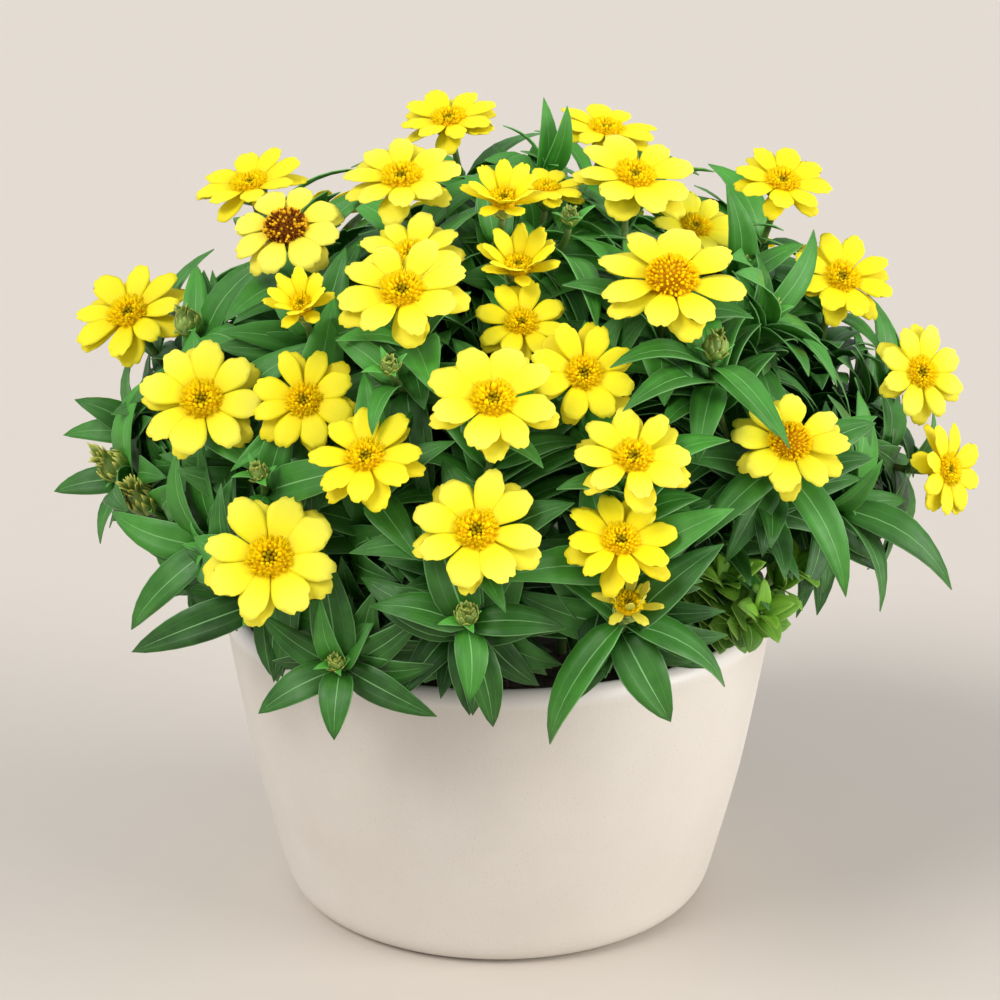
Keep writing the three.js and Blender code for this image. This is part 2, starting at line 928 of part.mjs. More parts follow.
// Whether a leaf of a pair ends within the bush and leaves every head free in the front view.
function suitsBush(blade, heads) {
  const { tip } = blade;
  const share = ["x", "y", "z"].reduce(
    (sum, key, i) => sum + ((tip[key] - BUSH.middle[i]) / BUSH.reach[i]) ** 2,
    0,
  );
  const widest = BUSH.rim + (tip.z - BUSH.low) * BUSH.flare;
  if (share > 1 || tip.z < BUSH.low || Math.hypot(tip.x, tip.y) > widest) {
    return false;
  }
  const { upper } = bladeCorners({ ...blade, full: true }, 0, 0);
  const points = [...upper, upper[4].clone().lerp(upper[7], 0.5), upper[7].clone().lerp(blade.root, 0.5)];
  return heads.every((head) => {
    const sight = FRONT_VIEW.clone().sub(head.seat).normalize();
    return points.every((point) => {
      const away = point.clone().sub(head.seat);
      const ahead = away.dot(sight);
      const beside = Math.sqrt(Math.max(away.lengthSq() - ahead ** 2, 0));
      return ahead < FREE_DEPTH || beside > head.radius * FREE_SHARE;
    });
  });
}

// Grows a leaf on one face of a shoot, in the first way that suits the bush and keeps it clear of
// the other nodes and of the rest of its own stem.
function growLeaf(stem, line, node, face, tip, width, full, suits) {
  const { root, across } = leafFoot(line, node.share, face);
  const span = tip.clone().sub(root);
  const size = span.length();
  const side = across.clone().addScaledVector(span, -across.dot(span) / size ** 2).normalize();
  const over = side.clone().cross(span).normalize();
  for (const [aside, up, reach] of LEAF_TURNS) {
    const end = along(root, [span, reach], [side, aside * size * reach], [over, up * size * reach]);
    const blade = { root, tip: end, across, width: width * reach, full };
    if (!suits(blade)) {
      continue;
    }
    if (!isClear(bladeSolid(blade, CLEARANCE, 0), (other) => other.owner !== stem.name)) {
      continue;
    }
    const free = bladeSolid(blade, CLEARANCE, BLADE_MARKS.free);
    if (!isClear(free, (other) => other.owner === stem.name)) {
      continue;
    }
    node.blades[face] = blade;
    place(stem.name, bladeSolid(blade, 0, 0));
    return;
  }
}

// The joints of a shoot where its leaves stand, as shares of its length.
function jointsOf(stem, line) {
  const { shares } = stem.scale ? SPRIG_PAIRS : LEAF_PAIRS;
  const long = line.length > LONG_SHOOT && stem.foot[1] < 0;
  const side = long ? shares.long : shares.shoot;
  const named = line.shoot.leaves ? NAMED_SHARES : [];
  const free = (share) => named.every((other) => Math.abs(other - share) * line.length > JOINT_SPACE);
  const plain = (line.order ? side : shares.leader).filter(free);
  return [...named, ...plain].map((share) => ({ share, blades: [] }));
}

// The centre lines of a stem: its leader and its side shoots, with what each one ends in.
function drawShoots(stem, heads) {
  stem.lines = [];
  const foot = at(...stem.foot, STEM_CLEAR);
  const scale = stem.scale ?? 1;
  stem.shoots.forEach((shoot, order) => {
    const head = heads.get(shoot.end);
    const axis = head ? head.axis : heading(...shoot.aim);
    const neck = head ? along(head.seat, [axis, -CALYX_HEIGHT]) : at(...shoot.end);
    const leader = stem.lines[0]?.curve;
    const start = shoot.from ? leader.getPoint(shoot.from) : foot;
    const leave = shoot.from ? leader.getTangent(shoot.from) : UP.clone();
    if (shoot.from) {
      leave.add(neck.clone().sub(start).normalize());
    } else {
      leave.addScaledVector(at(...stem.foot, 0), LEAN_OUT);
    }
    const curve = shootCurve(start, leave.normalize(), neck, axis);
    const thick = (order ? SHOOT_RADIUS : LEADER_RADIUS) * scale;
    const length = curve.getLength();
    const line = { curve, shoot, head, axis, neck, thick, scale, length, order };
    line.nodes = jointsOf(stem, line);
    stem.lines.push(line);
    place(stem.name, loft(shootRings(line).map(({ ring }) => ring)));
  });
}

// All rings of a shoot from its foot to the top of its calyx or bud, each with the leaves that
// stand between it and the next one.
function shootRings(line) {
  const { shoot, head, axis, neck, nodes, length, scale } = line;
  const steps = line.order ? SHOOT_STEPS : LEADER_STEPS;
  const half = (ROOT_HEIGHT * scale) / 2 / length;
  const marks = [{ share: 0 }, { share: 1 }];
  for (let i = 1; i < steps; i += 1) {
    const share = i / steps;
    if (nodes.every((node) => Math.abs(node.share - share) > RING_SPACE)) {
      marks.push({ share });
    }
  }
  for (const { share, blades } of nodes) {
    marks.push({ share: share - half, blades }, { share: share + half });
  }
  marks.sort((a, b) => a.share - b.share);
  const rings = marks.map(({ share, blades }) => ({ ring: shootRing(line, share), blades }));
  const cap = (rise, radius) => {
    const point = along(neck, [axis, rise]);
    rings.push({ ring: ringAt(point, axis, RING_START, radius, STEM_SIDES) });
  };
  if (head) {
    cap(CALYX_HEIGHT - SEAT_GAP, head.hub * CALYX_SHARE);
  } else if (shoot.bud) {
    BUD_PROFILE.forEach(([rise, wide]) => cap(rise * shoot.bud, wide * shoot.bud));
  }
  return rings;
}

// A shoot with its leaves as one closed surface: each leaf takes the place of the face of the
// shoot that it grows from.
function shootSolid(line, foot) {
  const rings = shootRings(line);
  if (foot) {
    const low = foot.clone().setZ(STEM_FOOT);
    rings.unshift({ ring: ringAt(low, UP, RING_START, line.thick, STEM_SIDES) });
  }
  const points = rings.flatMap(({ ring }) => ring);
  const faces = [];
  const add = (point) => points.push(point) - 1;
  for (let level = 0; level + 1 < rings.length; level += 1) {
    for (let i = 0; i < STEM_SIDES; i += 1) {
      const a = level * STEM_SIDES + i;
      const b = level * STEM_SIDES + ((i + 1) % STEM_SIDES);
      const [c, d] = [b + STEM_SIDES, a + STEM_SIDES];
      const blade = rings[level].blades?.[i];
      if (!blade) {
        faces.push([a, b, c], [a, c, d]);
        continue;
      }
      const { upper, lower } = bladeCorners(blade, 0, 0);
      const over = [c, d, ...upper.slice(2).map(add)];
      const under = [b, a, ...lower.slice(2).map(add)];
      const shape = blade.full ? FULL_BLADE : PLAIN_BLADE;
      for (const [p, q, r] of shape.faces) {
        faces.push([over[p], over[q], over[r]], [under[p], under[r], under[q]]);
      }
      for (let k = 1; k < shape.outline.length; k += 1) {
        const next = (k + 1) % shape.outline.length;
        faces.push([over[k], under[k], under[next]], [over[k], under[next], over[next]]);
      }
    }
  }
  const last = points.indexOf(rings.at(-1).ring[0]);
  for (let i = 1; i + 1 < STEM_SIDES; i += 1) {
    faces.push([0, i + 1, i], [last, last + i, last + i + 1]);
  }
  return solidOf(points, faces);
}

// The leaves that hang or stand near the end of a shoot, given by their tips, each on the face
// that looks its way.
function growNamedLeaves(stem) {
  for (const line of stem.lines) {
    for (const [tip, width] of line.shoot.leaves ?? []) {
      const spots = line.nodes.slice(0, NAMED_SHARES.length).flatMap((node) =>
        Array.from({ length: STEM_SIDES }, (_, face) => {
          const { root, out } = leafFoot(line, node.share, face);
          const toward = at(...tip).sub(root).normalize();
          return { node, face, fit: node.blades[face] ? -1 : toward.dot(out) };
        }),
      );
      const best = spots.reduce((a, b) => (b.fit > a.fit + 0.1 ? b : a));
      growLeaf(stem, line, best.node, best.face, at(...tip), width, true, () => true);
    }
  }
}

// A drawn value from its least value and what the draw adds to it at most.
function spreadOf([least, added], draw) {
  return least + added * draw();
}

// Leaves at the joints of the shoots, in pairs. The outer joints of a shoot have a second pair that
// crosses the first one and rises more.
function growPairs(stem, draw, facing) {
  const { length, width } = stem.scale ? SPRIG_PAIRS : LEAF_PAIRS;
  const suits = (blade) => Boolean(stem.scale) || suitsBush(blade, facing);
  for (const line of stem.lines) {
    for (const node of line.nodes) {
      for (const face of [0, 2, 1, 3]) {
        const { root, axis, across, out } = leafFoot(line, node.share, face);
        const reach = length * spreadOf(SPREAD.length, draw);
        const least = face % 2 ? SPREAD.steepRise : SPREAD.flatRise;
        const rise = spreadOf([least, SPREAD.addedRise], draw);
        const aside = SPREAD.aside * (draw() - 0.5);
        const steps = [[out, reach * SPREAD.outward], [axis, reach * rise], [across, reach * aside]];
        const tip = along(root, ...steps);
        const broad = width * spreadOf(SPREAD.width, draw);
        const inner = node.share < CROSSED_FROM && face % 2 === 1;
        if (!inner && !node.blades[face]) {
          growLeaf(stem, line, node, face, tip, broad, false, suits);
        }
      }
    }
  }
}

// One solid from all the shoots of a stem.
function stemSolid(stem) {
  const foot = at(...stem.foot, 0);
  const parts = stem.lines.map((line) => {
    const rooted = line.curve.v0.z === STEM_CLEAR;
    return shootSolid(line, rooted ? foot : null);
  });
  return wasm.Manifold.union(parts);
}

const group = new THREE.Group();
group.name = "potted_zinnia";

function addNode(name, solid, [color, roughness]) {
  const material = new THREE.MeshStandardMaterial({ color, roughness, metalness: 0 });
  const mesh = new THREE.Mesh(geometryOf(solid), material);
  mesh.name = name;
  group.add(mesh);
}

// The soil with a plain hole for each stem.
function makeSoil() {
  const holes = [...STEMS, SPRIG].map(({ foot }) => {
    const low = at(...foot, HOLE_FLOOR);
    const high = at(...foot, POT_PROFILE[8][1]);
    const side = at(1, 0, 0);
    return loft([low, high].map((p) => ringAt(p, UP, side, HOLE_RADIUS, HOLE_SIDES)));
  });
  return turned(SOIL_PROFILE).subtract(wasm.Manifold.union(holes));
}

const pot = turned(POT_PROFILE);
const soil = makeSoil();
place("pot", pot);
place("soil", soil);
const blooms = makeBlooms();
const heads = new Map(blooms.map(({ head }) => [head.name, head]));
const stems = [...STEMS, SPRIG];
stems.forEach((stem) => drawShoots(stem, heads));
stems.forEach(growNamedLeaves);
const facing = blooms.map(({ head }) => head).filter((head) => head.axis.y < 0);
stems.forEach((stem, order) => growPairs(stem, makeDraw(FIRST_SEED + SEED_STEP * order), facing));

addNode("pot", pot, PAINT.pot);
addNode("soil", soil, PAINT.soil);
for (const { head, solid } of blooms) {
  addNode("bloom_" + head.name, solid, PAINT.petal);
}
for (const stem of stems) {
  addNode(stem.name, stemSolid(stem), stem === SPRIG ? PAINT.sprig : PAINT.green);
}

export default group;
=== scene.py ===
"""Dressed model of a potted zinnia: cream bowl pot, soil, leafy stems, flower heads and one sprig.

Sizes in the tables are millimetres and angles are degrees. Meshes are written in metres, with Z
up and the front toward -Y.
"""

from __future__ import annotations

import logging
import math
import random
from dataclasses import dataclass, field
from enum import Enum
from typing import Iterator, Sequence

import bmesh
import bpy
import numpy as np
from mathutils import Matrix, Vector, kdtree, noise

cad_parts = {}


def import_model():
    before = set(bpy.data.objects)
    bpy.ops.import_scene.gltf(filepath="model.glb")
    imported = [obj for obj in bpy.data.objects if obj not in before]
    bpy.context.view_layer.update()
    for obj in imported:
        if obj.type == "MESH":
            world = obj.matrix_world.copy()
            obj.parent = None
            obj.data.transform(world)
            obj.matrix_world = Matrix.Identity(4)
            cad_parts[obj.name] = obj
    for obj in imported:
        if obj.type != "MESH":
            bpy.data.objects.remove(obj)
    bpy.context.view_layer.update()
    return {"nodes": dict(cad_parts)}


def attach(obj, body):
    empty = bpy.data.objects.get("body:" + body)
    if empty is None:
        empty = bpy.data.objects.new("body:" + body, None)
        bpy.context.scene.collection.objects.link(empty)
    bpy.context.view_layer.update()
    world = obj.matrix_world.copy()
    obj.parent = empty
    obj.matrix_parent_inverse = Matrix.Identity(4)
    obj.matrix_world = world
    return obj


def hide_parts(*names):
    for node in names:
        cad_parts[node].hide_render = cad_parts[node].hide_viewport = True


LOG = logging.getLogger("potted_zinnia")
MM = 0.001
BODY = "root"
UP = np.array([0.0, 0.0, 1.0])

# Corners in millimetres closer than this are one corner.
WELD = 0.001

# The numbers behind the seeded draws, the same as in the CAD source.
DRAW_FACTOR, DRAW_STEP, DRAW_RANGE = 1664525, 1013904223, 2**32

Point = np.ndarray
Profile = Sequence[tuple[float, float]]
Colour = tuple[float, float, float]
BMesh = bmesh.types.BMesh
Socket = bpy.types.NodeSocket
Material = bpy.types.Material


class Kind(Enum):
    """The age of a flower head."""

    OPEN = "open"
    CONE = "cone"
    OLD = "old"
    HALF = "half"
    FADED = "faded"


@dataclass(frozen=True)
class KindShape:
    """Rise of the petals at foot and tip for both layers, and the disc as shares of the radius."""

    upper: tuple[float, float]
    lower: tuple[float, float]
    disc: float
    dome: float
    breadth: float = 1.0


KIND_SHAPES = {
    Kind.OPEN: KindShape((20, -4), (4, -14), 0.28, 0.15),
    Kind.CONE: KindShape((16, -6), (2, -16), 0.31, 0.3),
    Kind.OLD: KindShape((10, -22), (-4, -34), 0.36, 0.22),
    Kind.HALF: KindShape((56, 34), (36, 14), 0.28, 0.12),
    Kind.FADED: KindShape((62, 74), (30, 4), 0.34, 0.12, 0.55),
}

# Each flower head: name, seat, rise and turn of its axis, radius, petals a layer, and kind.
BLOOMS = [
    ("b07", (-37, -122, 303), 51, -8, 26, 5, Kind.OPEN),
    ("b15", (68, -105, 304), 60, 5, 30, 5, Kind.CONE),
    ("b24", (-2, -155, 268), 50, 0, 25.5, 5, Kind.OPEN),
    ("b25", (-8, -172, 222), 42, -3, 25, 5, Kind.OPEN),
    ("b29", (-88, -152, 205), 38, -4, 27, 5, Kind.OPEN),
    ("b20", (115, -120, 242), 47, 4, 24.5, 4, Kind.CONE),
    ("b28", (-118, -108, 257), 35, -4, 25.5, 5, Kind.OPEN),
    ("b04", (-87, -62, 318), 51, -12, 24.5, 5, Kind.OLD),
    ("b12", (57, -36, 335), 59, 20, 26, 5, Kind.OPEN),
    ("b21", (51, -157, 246), 52, 4, 23.5, 4, Kind.OPEN),
    ("b26", (-50, -157, 246), 52, -8, 23, 4, Kind.OPEN),
    ("b22", (46, -167, 216), 51, 8, 22.5, 4, Kind.OPEN),
    ("b02", (-40, -48, 336), 60, -10, 25.5, 4, Kind.OPEN),
    ("b05", (-162, -9, 271), 50, -24, 27, 4, Kind.OPEN),
    ("b17", (151, -3, 286), 45, 12, 24, 4, Kind.OPEN),
    ("b18", (184, -21, 248), 24, 24, 22.5, 4, Kind.OPEN),
    ("b19", (195, -34, 208), 16, 46, 22, 4, Kind.OPEN),
    ("b16", (125, 10, 326), 58, 14, 23.5, 4, Kind.OPEN),
    ("b23", (33, -125, 272), 30, 8, 22, 4, Kind.OPEN),
    ("b14", (9, -105, 287), 48, 3, 20, 4, Kind.OPEN),
    ("b27", (-76, -120, 260), 30, -10, 22, 4, Kind.OPEN),
    ("b08", (-35, -84, 310), 55, -8, 22, 4, Kind.OPEN),
    ("b03", (-110, 14, 324), 66, -25, 25, 4, Kind.OPEN),
    ("b01", (-22, 38, 350), 65, -20, 23.5, 4, Kind.OPEN),
    ("b11", (48, 32, 346), 70, 25, 24, 4, Kind.OPEN),
    ("b31", (84, -20, 311), 55, 25, 21, 4, Kind.OPEN),
    ("b13", (8, -85, 306), 62, 0, 20, 4, Kind.HALF),
    ("b09", (2, -78, 332), 58, 5, 19, 4, Kind.HALF),
    ("b06", (-77, -112, 296), 50, -10, 16, 4, Kind.HALF),
    ("b10", (20, -38, 330), 75, 10, 17, 4, Kind.OPEN),
    ("b30", (49, -170, 192), 60, 10, 15, 4, Kind.FADED),
    ("k01", (-128, 88, 222), 45, -120, 24, 4, Kind.OPEN),
    ("k02", (-85, 135, 262), 48, -145, 24, 4, Kind.OPEN),
    ("k03", (-85, 85, 300), 62, -135, 24, 4, Kind.OPEN),
    ("k04", (-22, 105, 302), 62, -170, 24, 4, Kind.OPEN),
    ("k05", (-8, 165, 240), 45, 180, 25, 4, Kind.OPEN),
    ("k06", (58, 98, 308), 62, 150, 24, 4, Kind.OPEN),
    ("k07", (78, 145, 255), 48, 152, 24, 4, Kind.OPEN),
    ("k08", (118, 85, 284), 55, 125, 23, 4, Kind.OPEN),
    ("k09", (145, 98, 222), 42, 120, 23, 4, Kind.OPEN),
]

# The heads whose petals are a deeper yellow.
DEEP_HEADS = ("b01", "b03", "b05", "b06", "b09", "b10", "b11", "b13", "b14", "b16", "b17", "b19",
              "b22", "b23", "b26", "b27", "k02", "k03", "k05", "k08")

# How far a petal may bend from its own rise and how much of its length it keeps.
PETAL_BENDS = [
    (0, 1), (12, 1), (24, 1), (8, 0.85), (38, 0.95), (20, 0.75),
    (52, 0.9), (0, 0.7), (66, 0.85), (30, 0.6), (0, 0.55), (60, 0.55),
]


@dataclass(frozen=True)
class Shoot:
    """One shoot: its end, a head's name or a place, where it leaves its leader, and its leaves."""

    end: str | tuple[float, float, float]
    start: float
    aim: tuple[float, float] = (90, 0)
    bud: float = 0.0
    leaves: tuple[tuple[tuple[float, float, float], float], ...] = ()


@dataclass(frozen=True)
class StemPlan:
    """One stem: its name, its foot in the soil, its shoots, and its size beside a full stem's."""

    name: str
    foot: tuple[float, float]
    shoots: tuple[Shoot, ...]
    scale: float = 1.0


STEMS = [
    StemPlan("stem_01", (-12, -80), (
        Shoot("b25", 0),
        Shoot("b24", 0.5),
        Shoot((-12, -171, 187), 0.35, (50, 0), 3.4, (
            ((-49, -166, 191), 14), ((26, -169, 183), 14),
            ((-11, -183, 158), 13), ((-2, -166, 141), 14))),
    )),
    StemPlan("stem_02", (-47, -70), (
        Shoot("b26", 0),
        Shoot("b29", 0.45),
        Shoot((-63, -154, 162), 0.25, (45, -10), 2.5, (
            ((-95, -152, 141), 14), ((-64, -167, 136), 14), ((-24, -160, 143), 14),
            ((-47, -152, 183), 12), ((-97, -144, 175), 12))),
    )),
    StemPlan("stem_03", (36, -76), (
        Shoot("b22", 0),
        Shoot("b21", 0.55),
        Shoot("b30", 0.4, leaves=(
            ((67, -168, 144), 19), ((89, -156, 154), 18), ((20, -164, 133), 17))),
    )),
    StemPlan("stem_04", (70, -50), (
        Shoot("b20", 0, leaves=(
            ((140, -124, 180), 15), ((90, -130, 196), 13), ((77, -138, 206), 14))),
        Shoot((85, -112, 276), 0.55, (65, 10), 4.3, (
            ((43, -133, 277), 14), ((113, -124, 250), 13),
            ((77, -140, 240), 14), ((107, -154, 243), 12))),
    )),
    StemPlan("stem_05", (85, -8), (
        Shoot("b18", 0),
        Shoot("b19", 0.5),
        Shoot("b17", 0.45),
        Shoot((147, -60, 200), 0.3, (30, 60), 2.6, (
            ((196, -62, 162), 17), ((163, -76, 157), 14), ((176, -66, 213), 14))),
    )),
    StemPlan("stem_06", (-74, -44), (
        Shoot("b28", 0),
        Shoot("b27", 0.45),
        Shoot((-93, -132, 232), 0.5, (55, -20), 2.8),
        Shoot((-119, -105, 195), 0.35, (20, -60), leaves=(((-153, -99, 157), 15),)),
        Shoot((-98, -119, 176), 0.2, (10, -50), leaves=(((-151, -112, 152), 16),)),
    )),
    StemPlan("stem_07", (-86, -4), (
        Shoot("b05", 0),
        Shoot((-163, -32, 205), 0.35, (40, -60), 5.6, (
            ((-197, -27, 196), 13), ((-177, -48, 180), 13))),
        Shoot((-149, -58, 197), 0.4, (50, -40), 5.6),
        Shoot((-160, -14, 219), 0.45, (25, -70), leaves=(
            ((-188, -15, 235), 14), ((-196, -5, 216), 12))),
        Shoot((-130, -45, 271), 0.5, (65, -40), 4.7, (
            ((-131, -18, 296), 11), ((-137, -34, 283), 11), ((-98, -30, 292), 11))),
    )),
    StemPlan("stem_08", (-50, -18), (Shoot("b04", 0), Shoot("b03", 0.5), Shoot("b06", 0.55))),
    StemPlan("stem_09", (-14, -46), (
        Shoot("b07", 0),
        Shoot("b08", 0.6),
        Shoot("b13", 0.55),
        Shoot("b14", 0.5),
        Shoot((-41, -140, 277), 0.65, (50, -10), 2.6),
    )),
    StemPlan("stem_10", (28, -38), (
        Shoot("b15", 0),
        Shoot("b12", 0.55),
        Shoot("b23", 0.5),
        Shoot("b31", 0.5),
        Shoot((112, -62, 283), 0.5, (60, 40), 2.6, (
            ((140, -78, 256), 13), ((157, -62, 246), 13), ((134, -34, 314), 12))),
    )),
    StemPlan("stem_11", (-6, -8), (
        Shoot("b02", 0),
        Shoot("b09", 0.55),
        Shoot("b10", 0.5),
        Shoot((29, -70, 322), 0.6, (70, 10), 2.6),
    )),
    StemPlan("stem_12", (14, 26), (
        Shoot("b01", 0),
        Shoot("b11", 0.5),
        Shoot((22, 8, 334), 0.6, (80, 20), 2.4, (((13, 6, 364), 11), ((30, 2, 362), 11))),
    )),
    StemPlan("stem_13", (62, 24), (
        Shoot("b16", 0),
        Shoot("k08", 0.5),
        Shoot("k09", 0.35),
        Shoot((104, -26, 298), 0.55, (72, 30), 2.4, (
            ((89, -32, 331), 14), ((84, -44, 316), 14))),
    )),
    StemPlan("stem_14", (-50, 44), (Shoot("k02", 0), Shoot("k03", 0.5), Shoot("k01", 0.4))),
    StemPlan("stem_15", (10, 70), (
        Shoot("k05", 0),
        Shoot("k04", 0.45),
        Shoot("k06", 0.5),
        Shoot("k07", 0.4),
    )),
]

SPRIG = StemPlan("companion_sprig", (80, -60), (
    Shoot((109, -102, 166), 0, (50, 30)),
    Shoot((95, -88, 175), 0, (70, 20)),
    Shoot((126, -74, 176), 0, (60, 60)),
), 0.62)

# The ways in which a leaf may turn aside: shares of its length sideways and up, and its size.
LEAF_TURNS = [
    (0, 0, 1), (0.16, 0.05, 1), (-0.16, 0.05, 1), (0.1, -0.18, 0.95), (-0.1, 0.2, 0.95),
    (0.34, 0.1, 0.9), (-0.34, -0.1, 0.9), (0.05, 0.36, 0.85), (-0.05, -0.36, 0.85),
    (0, 0.05, 0.68), (0.3, 0.3, 0.62), (-0.3, -0.25, 0.62), (0.7, 0.1, 0.9), (-0.7, 0.1, 0.9),
    (0.5, -0.5, 0.85), (-0.5, 0.5, 0.85), (0.6, 0.4, 0.6), (-0.6, -0.4, 0.6),
]

# The pot's profile, radius and height.
POT_FOOT = [(0, 0.6), (86, 0.6), (88, 0), (91, 0)]
POT_OUTSIDE = [(91, 0), (98.5, 6), (104, 24), (113.5, 63), (121, 105), (125, 131)]
POT_RIM = [(125, 131), (125.2, 134), (123.5, 137.5), (120.5, 139), (117.5, 136.5), (116.6, 132)]
POT_INSIDE = [(116.6, 132), (115, 118), (101, 50), (88, 12)]


def unit(vector: Point) -> Point:
    """The vector at length 1."""
    return vector / np.linalg.norm(vector)


def heading(rise: float, turn: float) -> Point:
    """The unit vector at a rise above level and a turn from the front toward +X."""
    r, t = math.radians(rise), math.radians(turn)
    return np.array([math.cos(r) * math.sin(t), -math.cos(r) * math.cos(t), math.sin(r)])


def square_to(vector: Point, axis: Point) -> Point:
    """The unit vector nearest to a vector that is square to a unit axis."""
    return unit(vector - axis * np.dot(vector, axis))


def make_draw(seed: int) -> Iterator[float]:
    """An endless seeded sequence of numbers between 0 and 1."""
    state = seed
    while True:
        state = (state * DRAW_FACTOR + DRAW_STEP) % DRAW_RANGE
        yield state / DRAW_RANGE


def smooth_line(points: Profile, parts: int) -> Profile:
    """A smooth line through points.

    Args:
        points: Corners of the line, radius and height.
        parts: Pieces into which each stretch between two corners is cut.

    Returns:
        The points of the smooth line, both ends included.
    """
    ends = [points[0], *points, points[-1]]
    line = []
    for corners in zip(ends, ends[1:], ends[2:], ends[3:]):
        a, b, c, d = (np.array(corner, dtype=float) for corner in corners)
        for i in range(parts):
            t = i / parts
            mix = 2 * b + (c - a) * t + (2 * a - 5 * b + 4 * c - d) * t**2
            line.append(tuple((mix + (3 * b - a - 3 * c + d) * t**3) / 2))
    line.append(tuple(float(value) for value in points[-1]))
    return line


def along_and_beside(points: Point, middle: Point, axis: Point) -> tuple[Point, Point]:
    """How far points lie along a unit axis from a place, and how far beside it."""
    away = points - middle
    along = away @ axis
    return along, np.linalg.norm(away - np.outer(along, axis), axis=1)


def frame_matrix(place: Point, across: Point, over: Point, axis: Point, size: float) -> Matrix:
    """The matrix that puts a template at a place in millimetres with its axes and size."""
    columns = [Vector(across) * size, Vector(over) * size, Vector(axis) * size, Vector(place)]
    matrix = Matrix.Identity(4)
    for i, column in enumerate(columns):
        for row in range(3):
            matrix[row][i] = column[row]
    return matrix


class CadCorners:
    """The corners of one CAD node, to be asked which of a few possible places it uses."""

    REACH = 0.04

    def __init__(self, node: bpy.types.Object) -> None:
        """Sorts the corners of a node for quick search."""
        vertices = node.data.vertices
        self.tree = kdtree.KDTree(len(vertices))
        for i, vertex in enumerate(vertices):
            self.tree.insert(vertex.co / MM, i)
        self.tree.balance()

    def has(self, place: Point) -> bool:
        """Whether a corner lies within a few hundredths of a millimetre of a place."""
        return self.tree.find(Vector(place))[2] < self.REACH


class Stamp:
    """A small template mesh that is pressed many times into a larger mesh."""

    def __init__(self, bm: BMesh, name: str) -> None:
        """Keeps a template with its corners in millimetres, and frees the bmesh."""
        self.mesh = bpy.data.meshes.new(name)
        bm.to_mesh(self.mesh)
        bm.free()
        count = len(self.mesh.vertices)
        flat = np.empty(count * 3, dtype=np.float32)
        self.mesh.vertices.foreach_get("co", flat)
        self.base = flat.reshape(-1, 3).astype(float)
        lift = self.base[:, 2]
        self.lift = (lift - lift.min()) / max(float(np.ptp(lift)), 1e-6)

    def grid(self) -> tuple[Point, Point]:
        """The place of each corner of a grid across it, -1 to 1, and along it, 0 to 1."""
        return self.base[:, 0] * 2, self.base[:, 1] + 0.5

    def press(self, bm: BMesh, points: Point, tone: float, lift: Point | None = None) -> None:
        """Adds one copy of the template.

        Args:
            bm: The mesh that takes the copy.
            points: The corners of the copy in millimetres.
            tone: The shade of the copy, from 0 to 1.
            lift: A value for each corner, by default its height in the template.
        """
        count = len(self.base)
        self.mesh.vertices.foreach_set("co", (points * MM).astype(np.float32).ravel())
        values = {"tone": np.full(count, tone), "lift": self.lift if lift is None else lift}
        for name, value in values.items():
            self.mesh.attributes[name].data.foreach_set("value", value.astype(np.float32))
        bm.from_mesh(self.mesh)

    def press_at(self, bm: BMesh, matrix: Matrix, tone: float) -> None:
        """Adds one copy of the template, placed by a matrix in millimetres."""
        turn = np.array(matrix.to_3x3())
        self.press(bm, self.base @ turn.T + np.array(matrix.translation), tone)


def new_sheet() -> BMesh:
    """An empty bmesh with the layers that the finishes read."""
    bm = bmesh.new()
    bm.loops.layers.uv.new("blade")
    bm.verts.layers.float.new("tone")
    bm.verts.layers.float.new("lift")
    return bm


def grid_stamp(name: str, across: int, along: int) -> Stamp:
    """A flat square template of so many faces across and along, with its own UV map."""
    bm = new_sheet()
    bmesh.ops.create_grid(bm, x_segments=across, y_segments=along, size=0.5, calc_uvs=True)
    return Stamp(bm, name)


def finish_mesh(bm: BMesh, name: str, finishes: Sequence[Material],
                stands_for: Sequence[str], thickness: float = 0.0) -> None:
    """Makes a piece that rides on the body from a bmesh.

    Args:
        bm: The mesh of the piece in metres, which is freed.
        name: The name of the piece.
        finishes: The materials of the piece.
        stands_for: The CAD nodes that the piece takes the place of.
        thickness: Millimetres that its sheets get below their upper face, or 0 for a solid.
    """
    mesh = bpy.data.meshes.new(name)
    bm.to_mesh(mesh)
    bm.free()
    for polygon in mesh.polygons:
        polygon.use_smooth = True
    for finish in finishes:
        mesh.materials.append(finish)
    piece = bpy.data.objects.new(name, mesh)
    bpy.context.scene.collection.objects.link(piece)
    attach(piece, BODY)
    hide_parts(*stands_for)
    if thickness:
        modifier = piece.modifiers.new("thickness", "SOLIDIFY")
        modifier.thickness = thickness * MM
        modifier.offset = -1
    LOG.info("%s: %d faces", name, len(mesh.polygons))


def turned(profile: Profile, steps: int) -> BMesh:
    """A profile of radii and heights in millimetres, spun round the Z axis and closed."""
    bm = new_sheet()
    corners = [bm.verts.new((r, 0, z)) for r, z in profile]
    edges = [bm.edges.new(pair) for pair in zip(corners, corners[1:])]
    bmesh.ops.spin(bm, geom=[*corners, *edges], axis=(0, 0, 1), cent=(0, 0, 0),
                   angle=2 * math.pi, steps=steps, use_merge=True)
    bmesh.ops.remove_doubles(bm, verts=bm.verts, dist=WELD)
    bmesh.ops.recalc_face_normals(bm, faces=bm.faces)
    return bm


def pour(bm: BMesh, source: BMesh, tone: float, finish: int = 0) -> None:
    """Adds a whole bmesh in millimetres to another in metres, with a tone and a finish."""
    bmesh.ops.scale(source, vec=(MM, MM, MM), verts=source.verts)
    layer = source.verts.layers.float["tone"]
    for vertex in source.verts:
        vertex[layer] = tone
    for face in source.faces:
        face.material_index = finish
    mesh = bpy.data.meshes.new("poured")
    source.to_mesh(mesh)
    source.free()
    bm.from_mesh(mesh)
    bpy.data.meshes.remove(mesh)


